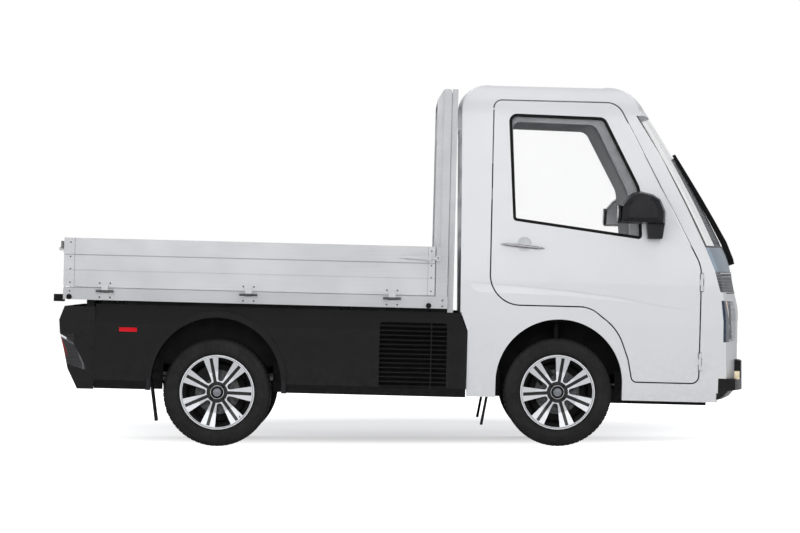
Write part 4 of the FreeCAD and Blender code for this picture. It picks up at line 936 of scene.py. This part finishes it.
def lamp_bowl():
    """The bowl leans back above 700 mm, as the front panel does."""
    back = [(-462, 1676), (-600, 1648), (-686, 1612)]
    thing = trace("bowl", [mm(x, y, 588) for y, x in LAMP_PLAN + back], filled=True)
    push(mm(0, 0, 214))
    bpy.ops.object.mode_set(mode="OBJECT")
    for vertex in thing.data.vertices:
        vertex.co.x -= 0.16 * max(vertex.co.z - 0.7, 0) ** 1.1
    editing(thing)
    front = [mm(x, y, 0) for y, x in LAMP_PLAN]
    middles = [(a + b) / 2 for a, b in zip(front, front[1:])]
    pick("FACE", lambda p: 0.6 < p.z < 0.78 and min((p.xy - m.xy).length for m in middles) < 0.02)
    bpy.ops.mesh.inset(thickness=0.011)
    push(mm(-28, 8, 0))
    outwards()
    soften(thing, 0.0025, 2)
    return thing


def round_lens(y, z, x, radius):
    """A projector lens: the front half of a flattened ball."""
    lens = squashed_ball(mm(x, y, z), radius, (0.45, 1, 1), 32, 16)
    editing(lens)
    bpy.ops.mesh.bisect(plane_co=mm(x, y, z), plane_no=(1, 0, 0), clear_inner=True, use_fill=True)
    bpy.ops.object.mode_set(mode="OBJECT")
    smooth(40)
    return lens


def lens_ring(y, z, x, radius):
    nothing()
    bpy.ops.mesh.primitive_torus_add(
        location=mm(x, y, z), rotation=(0, math.pi / 2, 0), major_segments=40, minor_segments=10,
        major_radius=radius + 0.003, minor_radius=0.0042,
    )
    bpy.ops.object.transform_apply(location=False, rotation=True)
    bpy.ops.object.shade_smooth()
    return bpy.context.object


bowl = lamp_bowl()
SPOTS = [(-522, 748, 1697, 0.029), (-530, 668, 1700, 0.029)]
lenses = joined([round_lens(*spot) for spot in SPOTS], "projectors")
rings = joined([lens_ring(*spot) for spot in SPOTS], "lens_rings")
print("lamp bowl faces", len(bowl.data.polygons))


# %% Corner lamp and light bar
def ribbed_bar(name, low, high, ribs):
    """A bar whose outer faces are cut into ribs along its height."""
    bar = block(name, low, high)
    editing(bar)
    cut_across(2, steps_between(low[2], high[2], ribs))
    pick("FACE", lambda p: abs(p.y - low[1] / 1000) < 1e-4 or abs(p.x - high[0] / 1000) < 1e-4)
    bpy.ops.mesh.inset(thickness=0.0012, use_individual=True, depth=-0.0015)
    bpy.ops.object.mode_set(mode="OBJECT")
    return bar


def swung(thing, pivot_y, forward):
    """Slants a bar in plan so that it follows the cab's corner."""
    for vertex in thing.data.vertices:
        vertex.co.x += (vertex.co.y * 1000 - pivot_y) * forward / 1000
    thing.data.update()
    editing(thing)
    outwards()
    soften(thing, 0.0006, 1)
    return thing


corner = swung(ribbed_bar("corner", (1640, -679, 612), (1668, -612, 792), 15), -679, 0.28)
bar = swung(ribbed_bar("bar", (1640, -684, 592), (1672, -470, 604), 2), -684, 0.28)
print("bars", len(corner.data.polygons), len(bar.data.polygons))


# %% Lamp finishes
def lamp_plastic(name, colour, rough, glow=0.0):
    """Moulded lamp plastic with fine upright flutes and a slight glow of its own."""
    lit = Finish(name, Coat_Weight=1.0, Coat_Roughness=0.04)
    toned = lit.mottled(shade(colour, 0.85), shade(colour, 1.12), 16, 4.0)
    lit.set(Base_Color=toned, Roughness=lit.varied(rough, rough + 0.1, 40, 3.0))
    lit.set(Emission_Color=toned, Emission_Strength=glow)
    lit.set(Normal=lit.bump((lit.x + lit.y).wave(0.004), 0.3, 0.0004))
    return lit.material


bowl_navy = moulded("lamp_bowl_navy", (0.010, 0.017, 0.036), 0.3, 400, 0.0001, 0.0)
amber = lamp_plastic("amber_lamp_plastic", (0.80, 0.42, 0.20), 0.25, 0.2)
milky = lamp_plastic("milky_light_bar", (0.82, 0.84, 0.87), 0.3, 0.1)
cream = lamp_plastic("cream_marker_plastic", (0.82, 0.70, 0.44), 0.3, 0.15)
reflector_red = moulded("red_reflector_plastic", (0.62, 0.001, 0.010), 0.45, 260, 0.0004, 0.0)
projector_glass = lamp_plastic("projector_lens", (0.30, 0.34, 0.40), 0.05)
lamp_parts = (
    (bowl, "headlamp_bowl_", bowl_navy), (lenses, "headlamp_projectors_", projector_glass),
    (rings, "headlamp_rings_", chrome), (corner, "headlamp_corner_", amber), (bar, "headlamp_bar_", milky),
)
for part, name, finish in lamp_parts:
    on_both_sides(part, name, finish, "truck")
print("headlamps filled")

# %% [markdown]
# ## Trim across the front
#
# A bright strip with a dark line under it runs across the front between the blue-grey cowl and the mesh; the dark line
# is a satin black bar standing in for the shade in the groove under the strip. It bends with the cab, so it starts as
# a straight bar cut into short lengths, and each vertex is then moved forward to the surface that a ray finds on the
# CAD panels.

# %% Strips
FRONT_NODES = ("cowl_panel", "mesh_panel", "front_panel")


def front_x(y, z):
    """How far forward the front panels stand at a place."""
    found = 0.0
    for name in FRONT_NODES:
        hit, spot, normal, face = nodes[name].ray_cast(Vector((2.4, y, z)), Vector((-1, 0, 0)))
        if hit:
            found = max(found, spot.x)
    return found


def hugging_bar(name, z, height, depth, half, lift, cuts=40):
    """A bar across the front, bent to the panels, with its back sunk into them."""
    bar = block(name, (0, -half, z - height / 2), (depth, half, z + height / 2))
    editing(bar)
    cut_across(1, steps_between(-half, half, cuts))
    nothing()
    for vertex in bar.data.vertices:
        vertex.co.x += front_x(vertex.co.y, z / 1000) + (lift - depth) / 1000
    soften(bar, 0.0016, 2)
    return bar


AS_DRAWN = Matrix.Identity(4)
# The satin black bar just under the bright chrome strip is painted shade for the groove there.
for finish, *bar_sizes in (
    (chrome, "cowl_strip", 913, 9, 12, 652, 4), (satin_black, "cowl_strip_groove_shade", 904, 6, 9, 648, 2),
    (cowl_blue_grey, "mesh_frame_top", 896, 6, 9, 646, 3), (satin_black, "mesh_frame_low", 808, 5, 9, 625, 2),
):
    settle(hugging_bar(*bar_sizes), finish, "truck", AS_DRAWN)
print("strips across the front")

# %% [markdown]
# ## Mesh, windscreen and lamp covers
#
# These three CAD nodes have the right shape, so their finishes paint what is printed or moulded on them: holes
# between crossed bars on the mesh, painted near black as the shade behind it, a black glued border on the windscreen,
# and a navy rim and an amber band inside the lamp covers. Each mask compares places on the upright drawing, so it stays
# put at every pose.


# %% Mesh and windscreen
def slotted_mesh():
    """Grey moulded mesh: crossed bars, with painted shade in the dark holes between them."""
    mesh = Finish("front_mesh", Specular_IOR_Level=0.3)
    rise = (mesh.y + mesh.z).wave(0.016)
    fall = (mesh.y - mesh.z).wave(0.016)
    # The holes are not cut: they are painted near black, a painted shade of the space behind the mesh, and bumped in.
    hole_painted_shade = mesh.ramp(rise * fall, 0.10, 0.30)
    grey = mesh.mottled((0.24, 0.245, 0.255), (0.32, 0.325, 0.335), 18, 4.0)
    mesh.set(Base_Color=mesh.mixed(hole_painted_shade, grey, (0.02, 0.02, 0.021)), Roughness=hole_painted_shade * 0.2 + 0.5)
    mesh.set(Normal=mesh.bump(1.0 - hole_painted_shade, 0.7, 0.0025))
    return mesh.material


def cab_glazing():
    """Clear, with a black printed border where the windscreen is glued to the cab."""
    pane = Finish("windscreen_glass", Specular_IOR_Level=0.6)
    x, z = body_place(pane)
    rise = z - 1.084
    edge = 1.566 - rise * (rise * 0.115 + 0.474)
    border = (x < edge + 0.011).top(z < 1.100).top(z > 1.790) * (x > 0.8)
    grazing = pane.node("ShaderNodeLayerWeight", inputs={"Blend": 0.2}, out="Facing")
    see = grazing * 0.22 + 0.01
    pane.set(Base_Color=pane.mixed(border, (0.62, 0.68, 0.72), (0.006, 0.006, 0.007)), Alpha=see.top(border))
    pane.set(Roughness=pane.varied(0.02, 0.05, 5, 3.0) + border * 0.2)
    return pane.material


dress(nodes["mesh_panel"], slotted_mesh())
dress(nodes["cab_glass"], cab_glazing())
print("mesh and windscreen")


# %% Headlamp covers
def lamp_cover():
    """Clear over the lenses; a navy rim and an amber band are printed inside it where it wraps to the side."""
    cover = Finish("headlamp_cover", Specular_IOR_Level=0.5, Coat_Weight=0.6, Coat_Roughness=0.05)
    x, z = body_place(cover)
    curve = cover.ramp(z, 0.81, 0.70, 0.0, 0.026) + cover.ramp(z, 0.70, 0.60, 0.0, 0.010)
    corner_zone = cover.y.size() > 0.640
    navy = (x < curve + 1.678) * corner_zone
    band = (x < curve + 1.708) * corner_zone
    warm = cover.mixed(cover.ramp(z, 0.62, 0.80), (0.86, 0.76, 0.60), (0.84, 0.50, 0.24))
    warm = cover.mixed(cover.ramp(cover.z.wave(0.016), 0.2, 0.9), warm, shade(WHITE, 1.1))
    grazing = cover.node("ShaderNodeLayerWeight", inputs={"Blend": 0.2}, out="Facing")
    see = grazing * 0.45 + 0.07
    dark = cover.mottled((0.012, 0.022, 0.045), (0.03, 0.045, 0.08), 30, 3.0)
    cover.set(Base_Color=cover.mixed(navy, cover.mixed(band, (0.80, 0.81, 0.83), warm), dark))
    cover.set(Alpha=see.top(band), Roughness=cover.varied(0.05, 0.12, 12, 3.0))
    return cover.material


dress(nodes["headlamps"], lamp_cover())
print("headlamp covers")

# %% [markdown]
# ## Tail lamps
#
# Each tail lamp wraps the rear corner. From the side it is a dark, ribbed, smoky lens with a bright strip along its
# top, which is a painted highlight, and a red edge towards the rear; from behind it is red with amber and white fields.
# The solid has the right shape, so one finish paints these zones and that highlight by place and cuts fine ribs by
# bump.


# %% Tail lamp finish
def tail_lamp():
    lens = Finish("tail_lamp_lens", Coat_Roughness=0.08, Specular_IOR_Level=0.25)
    x, z = body_place(lens)
    back = x + 1.838
    over = back * 0.53 + z - 0.552
    side = lens.y.size() > 0.698
    edge = lens.ramp(z, 0.388, 0.552, 0.071, 0.006)
    rear = (back < edge) * (1.0 - side).top(lens.ramp(z, 0.42, 0.48))
    # Painted highlight: a white band along the top of the side face, which also keeps the ribs off it.
    painted_top_highlight = (over > -0.011) * (back < 0.040) * side
    smoky = lens.mottled((0.010, 0.010, 0.011), (0.020, 0.020, 0.022), 30, 3.0)
    bead = near(over, -0.014, 0.004).top(near(back - edge, 0.060, 0.005))
    red = lens.mottled((0.13, 0.003, 0.005), (0.26, 0.006, 0.009), 50, 3.0)
    colour = lens.mixed(rear, lens.mixed(bead * side, smoky, (0.11, 0.115, 0.12)), red)
    across = lens.y.size()
    colour = lens.mixed((1.0 - side) * (across < 0.605), colour, (0.62, 0.22, 0.02))
    colour = lens.mixed((1.0 - side) * (across < 0.568), colour, (0.62, 0.63, 0.65))
    colour = lens.mixed(painted_top_highlight, colour, (0.80, 0.81, 0.85))
    housing = (over > 0.0) * side
    lens.set(Base_Color=lens.mixed(housing, colour, (0.006, 0.0056, 0.0064)))
    lens.set(Roughness=lens.varied(0.20, 0.30, 12, 3.0), Coat_Weight=0.35 - housing * 0.35)
    lens.set(Normal=lens.bump(lens.z.wave(0.007) * (1.0 - painted_top_highlight), 0.4, 0.0008))
    return lens.material


dress(nodes["tail_lamps"], tail_lamp())
print("tail lamps painted")

# %% [markdown]
# ## Small things on the outside
#
# Rivets and bolts are tiny, but they give the bed its scale. Each is a flattened ball or a six-sided head, repeated
# at every place. Reflectors and marker lamps are beveled blocks on what carries them.


# %% Fasteners
def rivet_at(x, y, z, radius=4.2):
    head = squashed_ball(mm(x, y, z), radius / 1000, (1, 0.5, 1), 14, 8)
    bpy.ops.object.shade_smooth()
    return head


def bolt_at(x, y, z):
    head = rod(6, 0.009, 0.012, mm(x, y, z), FACING_SIDE)
    soften(head, 0.0012, 2)
    return head


BOARD_FACE, HINGE_FACE, RAIL_FACE = -701.6, -703.2, -700.3
HINGES = (-1602, -843.5, -85)
HINGE_RIVETS = [x + off for x in HINGES for off in (-28, 28)]
board_rivets = [rivet_at(x, BOARD_FACE, z) for x in (-1787, 119) for z in (1034, 958, 894, 822)]
board_rivets += [rivet_at(x, HINGE_FACE, 822, 5.0) for x in HINGE_RIVETS]
rail_rivets = [rivet_at(x, HINGE_FACE, 747, 5.0) for x in HINGE_RIVETS]
rail_rivets += [rivet_at(x, RAIL_FACE, z, r) for x, z, r in ((-1789, 778, 4.2), (181, 776, 4.8), (181, 745, 4.8))]
frame_bolts = [bolt_at(x, -643, 716) for x in (-1536, -1499, -353, -306, 120)]
on_both_sides(joined(board_rivets, "board_rivets"), "board_rivets_", dull_steel, "side_board_")
on_both_sides(joined(rail_rivets, "rail_rivets"), "rail_rivets_", dull_steel, "truck")
on_both_sides(joined(frame_bolts, "frame_bolts"), "frame_bolts_", zinc_steel, "truck")
print("fasteners placed")

# %% Reflectors and marker lamps
reflector = block("reflector", (-1521, -706, 569), (-1427, -701, 591))
editing(reflector)
pick("FACE", lambda p: p.y < -0.7055)
bpy.ops.mesh.inset(thickness=0.002, depth=-0.001)
outwards()
soften(reflector, 0.0012, 3)
on_both_sides(reflector, "side_reflector_", reflector_red, "truck")

marker = block("marker", (1738, -640, 397), (1766, -585, 440))
editing(marker)
pick("EDGE", lambda p: p.x > 1.76 and p.y < -0.63)
bpy.ops.mesh.bevel(offset=0.012, segments=3)
outwards()
soften(marker, 0.002, 2)
on_both_sides(marker, "corner_marker_", cream, "truck")
print("reflectors and markers")

# %% [markdown]
# ## Arch lips, hinge sleeves and the gate latch
#
# Rounded lips stand round the rear arches: a section spun half a turn, with both ends drawn down to the sill. The
# drop sides turn on dark steel sleeves, and the tailgate is held shut by small steel latches at its corners.

# %% Arch lips
ARCH_X, ARCH_Z, LEG = -1004, 311, 48
LIP_SECTION = [(345, -699), (345, -706), (350, -708.6), (362, -709), (369, -706.5), (373, -699)]
lip = trace("lip", [mm(ARCH_X + r, y, ARCH_Z) for r, y in LIP_SECTION])
bpy.ops.mesh.spin(steps=48, angle=math.pi, center=mm(ARCH_X, 0, ARCH_Z), axis=(0, 1, 0))
pick("EDGE", lambda p: abs(p.z - ARCH_Z / 1000) < 1e-4)
push(mm(0, 0, -LEG))
for way in (-1, 1):
    pick("EDGE", lambda p: abs(p.z - (ARCH_Z - LEG) / 1000) < 1e-4 and way * (p.x - ARCH_X / 1000) > 0)
    bpy.ops.mesh.edge_face_add()
outwards()
smooth(40)
print("arch lip faces", len(lip.data.polygons))
on_both_sides(lip, "arch_lip_", lip_black, "truck")

# %% Hinge sleeves and latches
sleeves = joined([rod(20, 0.0066, 0.094, mm(x, -715, 779), (0, math.pi / 2, 0)) for x in HINGES], "sleeves")
soften(sleeves, 0.0012, 2)
on_both_sides(sleeves, "hinge_sleeves_", dull_steel, "truck")

latch = joined([
    block("latch_base", (-1828, -692, 1004), (-1821, -640, 1036)),
    block("latch_arm", (-1841, -676, 1002), (-1829, -662, 1040)),
    block("latch_hook", (-1841, -676, 1030), (-1824, -652, 1038)),
], "latch")
soften(latch, 0.002, 2)
on_both_sides(latch, "gate_latch_", dull_steel, "tailgate")
print("sleeves and latches")

# %% [markdown]
# ## Mirror glasses
#
# A mirror's housing has its glass in a black rim at the rear, and its inner side, seen through the door window, is a
# pale face whose colour is a painted reflection of the white studio, with a little real metallic sheen. Both are
# traced outlines, given a little depth, and set on the CAD housing.

# %% Mirror glasses
MIRROR_LINE = [(1104, 1214), (1109, 1293), (1143, 1334), (1172, 1352), (1212, 1359), (1262, 1348), (1276, 1214)]
inner_glass = trace("inner_glass", [mm(x, -745, z) for x, z in MIRROR_LINE], filled=True)
bpy.ops.mesh.inset(thickness=0.006, depth=0.002)
bpy.ops.mesh.select_all(action="SELECT")
push(mm(0, -5, 0))
outwards()
soften(inner_glass, 0.0008, 2)
on_both_sides(inner_glass, "mirror_inner_glass_", pale_painted_reflection, "door_")

REAR_GLASS = [(-872, 1216), (-756, 1211), (-756, 1304), (-866, 1302)]


def rear_plate(name, x, thickness, margin):
    """An upright plate on the housing's rear, its corners rounded, a margin inside the glass outline."""
    middle = [sum(spot[i] for spot in REAR_GLASS) / len(REAR_GLASS) for i in (0, 1)]
    spots = []
    for y, z in REAR_GLASS:
        spots.append(mm(x, y - math.copysign(margin, y - middle[0]), z - math.copysign(margin, z - middle[1])))
    plate = trace(name, spots)
    for spot in spots:
        round_corner(spot, 0.018, 6)
    bpy.ops.mesh.edge_face_add()
    push(mm(thickness, 0, 0))
    outwards()
    soften(plate, 0.0006, 2)
    return plate


on_both_sides(rear_plate("rim", 1089.5, 13, 0), "mirror_rim_", mirror_black, "door_")
on_both_sides(rear_plate("glass", 1088.5, 2, 4), "mirror_glass_", mirror_silver, "door_")
print("mirror glasses")

# %% [markdown]
# ## Inside the cab
#
# Door cards, an instrument cluster, a blank screen, air vents and a padded hub fill the cab. They are plain blocks
# with beveled edges, pressed panels and slats, because they are seen through glass and through open doors.


# %% Door cards
CARD_LINE = [
    (480, 815), (480, 1165), (1200, 1095), (1430, 1060), (1480, 960), (1480, 420), (1240, 420), (1190, 640),
    (1060, 790),
]
card = trace("card", [mm(x, -628, z) for x, z in CARD_LINE], filled=True)
bpy.ops.mesh.inset(thickness=0.018, depth=0.010)
bpy.ops.mesh.inset(thickness=0.030, depth=-0.006)
bpy.ops.mesh.select_all(action="SELECT")
push(mm(0, -8, 0))
outwards()
soften(card, 0.002, 2)
rest = block("rest", (640, -622, 960), (1090, -585, 992))
soften(rest, 0.008, 3)
pull = block("pull", (1120, -622, 985), (1160, -596, 1060))
soften(pull, 0.006, 3)
on_both_sides(joined([card, rest, pull], "cards"), "door_card_", interior_grey, "door_")
print("door cards")


# %% Dashboard parts
def pressed(thing, thickness, depth):
    """Insets the face towards the seats and moves it in, as a pressed panel."""
    front = min(vertex.co.x for vertex in thing.data.vertices)
    editing(thing)
    pick("FACE", lambda p: p.x < front + 0.0005)
    bpy.ops.mesh.inset(thickness=thickness, depth=depth)
    outwards()


DRIVER = 330
cluster = block("cluster", (1388, DRIVER - 140, 1032), (1398, DRIVER + 140, 1094))
pressed(cluster, 0.006, -0.004)
screen = block("screen", (1386, -110, 985), (1398, 110, 1105))
pressed(screen, 0.007, -0.002)
slats = []
for y in (-560, -220, 180, 560):
    slats += [block("frame", (1386, y + off - 2, 985), (1400, y + off + 2, 1035)) for off in (-50, 50)]
    slats += [block("slat", (1387, y - 50, z), (1399, y + 50, z + 3)) for z in range(987, 1036, 11)]
vents = joined(slats, "vents")
shelf = block("shelf", (1402, -600, 920), (1420, -180, 944))
dashboard_parts = (
    (cluster, 0.003, 2, matte_black), (screen, 0.003, 3, satin_black), (vents, 0.0006, 1, matte_black),
    (shelf, 0.004, 3, trim_grey),
)
for part, width, steps, finish in dashboard_parts:
    soften(part, width, steps)
    settle(part, finish, "truck")
print("dashboard parts", len(dashboard_parts))

# %% Wheel pad and sun visors
STEER_TILT = math.radians(38)
STEER_CENTRE = mm(1275, DRIVER, 1065)
pad = block("pad", (-62, -70, -20), (62, 70, 14))
editing(pad)
pick("FACE", lambda p: p.z > 0.01)
bpy.ops.transform.resize(value=(0.8, 0.8, 1))
outwards()
soften(pad, 0.014, 4)
pad.data.transform(Matrix.Translation(STEER_CENTRE) @ Matrix.Rotation(STEER_TILT - math.pi / 2, 4, "Y"))
settle(pad, matte_black, "steering_wheel")
visors = joined([block("visor", (1050, y - 190, 1742), (1062, y + 190, 1830)) for y in (-DRIVER, DRIVER)], "visors")
soften(visors, 0.005, 3)
settle(visors, trim_grey, "truck")
print("wheel pad and visors")

# %% [markdown]
# ## Seats
#
# Cushions and backs are stuffed shapes. Each starts as a rounded block a little smaller than the seat, is remeshed
# into even faces, and is blown up by a cloth simulation with inner pressure. No point may move further than a cap,
# so the pad swells in its middle and stays tight along its edges. Sewn channels are pressed in afterwards.

# %% Stuffing
SEAT_Y = -DRIVER
CLOTH_FRAMES = 20


def stuffed(name, line, half, cap, voxel=0.010):
    """A pad from its side profile and half its width, in millimetres; no point swells by more than the cap."""
    pad = trace(name, [mm(x, SEAT_Y - half, z) for x, z in line], filled=True)
    push(mm(0, 2 * half, 0))
    outwards()
    soften(pad, 0.028, 4, 30)
    pad.data.remesh_voxel_size = voxel
    bpy.ops.object.voxel_remesh()
    start = [vertex.co.copy() for vertex in pad.data.vertices]
    air = pad.modifiers.new("air", "CLOTH")
    air.settings.use_pressure = True
    air.settings.uniform_pressure_force = 4
    air.settings.effector_weights.gravity = 0
    air.settings.quality = 5
    for frame_number in range(1, CLOTH_FRAMES + 1):
        bpy.context.scene.frame_set(frame_number)
    bpy.ops.object.modifier_apply(modifier=air.name)
    bpy.context.scene.frame_set(1)
    for vertex, was in zip(pad.data.vertices, start):
        moved = vertex.co - was
        if moved.length > cap:
            vertex.co = was + moved * (cap / moved.length)
    finer = pad.modifiers.new("finer", "SUBSURF")
    finer.levels = finer.render_levels = 1
    bpy.ops.object.modifier_apply(modifier=finer.name)
    bpy.ops.object.shade_smooth()
    return pad


def sewn(pad, lines, depth=0.007, width=0.009):
    """Presses channels into a pad along its own faces; a line has an axis and a place in millimetres."""
    moves = []
    for vertex in pad.data.vertices:
        offs = [(vertex.co[axis] - place / 1000) / width for axis, place in lines]
        moves.append(vertex.normal * -depth * max(math.exp(-off * off) for off in offs))
    for vertex, move in zip(pad.data.vertices, moves):
        vertex.co += move
    pad.data.update()
    return pad


CUSHION = [(484, 722), (948, 722), (952, 796), (898, 848), (502, 822)]
BACK = [(398, 786), (492, 786), (532, 856), (464, 1326), (394, 1336)]
HEAD = [(398, 1388), (456, 1384), (443, 1518), (399, 1518)]
CUSHION_SEAMS = [(1, SEAT_Y - 125), (1, SEAT_Y + 125), (0, 640), (0, 800)]
BACK_SEAMS = [(1, SEAT_Y - 120), (1, SEAT_Y + 120), (2, 940), (2, 1090), (2, 1240)]
cushion = sewn(stuffed("cushion", CUSHION, 224, 0.012), CUSHION_SEAMS)
backrest = sewn(stuffed("backrest", BACK, 209, 0.012), BACK_SEAMS)
headrest = stuffed("headrest", HEAD, 112, 0.009, 0.008)
print("pads", [len(pad.data.polygons) for pad in (cushion, backrest, headrest)])


# %% Seat fabric and fittings
def seat_fabric():
    """Woven charcoal cloth with grey centre panels and a slight fuzz."""
    cloth = Finish("seat_fabric", Specular_IOR_Level=0.15, Sheen_Weight=0.25)
    weave = cloth.x.wave(0.0032) * cloth.y.wave(0.0032) + cloth.z.wave(0.0032) * 0.5
    panel = (cloth.y.size() - 0.330).size() < 0.118
    side = cloth.mottled((0.022, 0.023, 0.026), (0.036, 0.037, 0.041), 9, 5.0, 0.6)
    centre = cloth.mottled((0.085, 0.090, 0.098), (0.125, 0.130, 0.140), 9, 5.0, 0.6)
    colour = cloth.mixed(panel, side, centre)
    cloth.set(Base_Color=cloth.mixed(cloth.ramp(weave, -0.6, 0.8) * 0.35, colour, (0.16, 0.165, 0.175)))
    cloth.set(Roughness=cloth.varied(0.8, 0.95, 40, 3.0), Normal=cloth.bump(weave, 0.35, 0.0006))
    return cloth.material


fabric = seat_fabric()
padded_parts = ((cushion, "seat_cushion_", 0.75), (backrest, "seat_back_", 0.75), (headrest, "seat_head_", 0.8))
for part, name, fill in padded_parts:
    for piece in on_both_sides(part, name, fabric, "truck"):
        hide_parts("seats")
posts = joined([rod(20, 0.006, 0.100, mm(425, SEAT_Y + off, 1350)) for off in (-60, 60)], "posts")
soften(posts, 0.001, 2)
on_both_sides(posts, "head_posts_", chrome, "truck")
base = block("base", (476, SEAT_Y - 228, 716), (940, SEAT_Y + 228, 740))
soften(base, 0.006, 3)
on_both_sides(base, "seat_base_", matte_black, "truck")
print("seats covered and fitted")
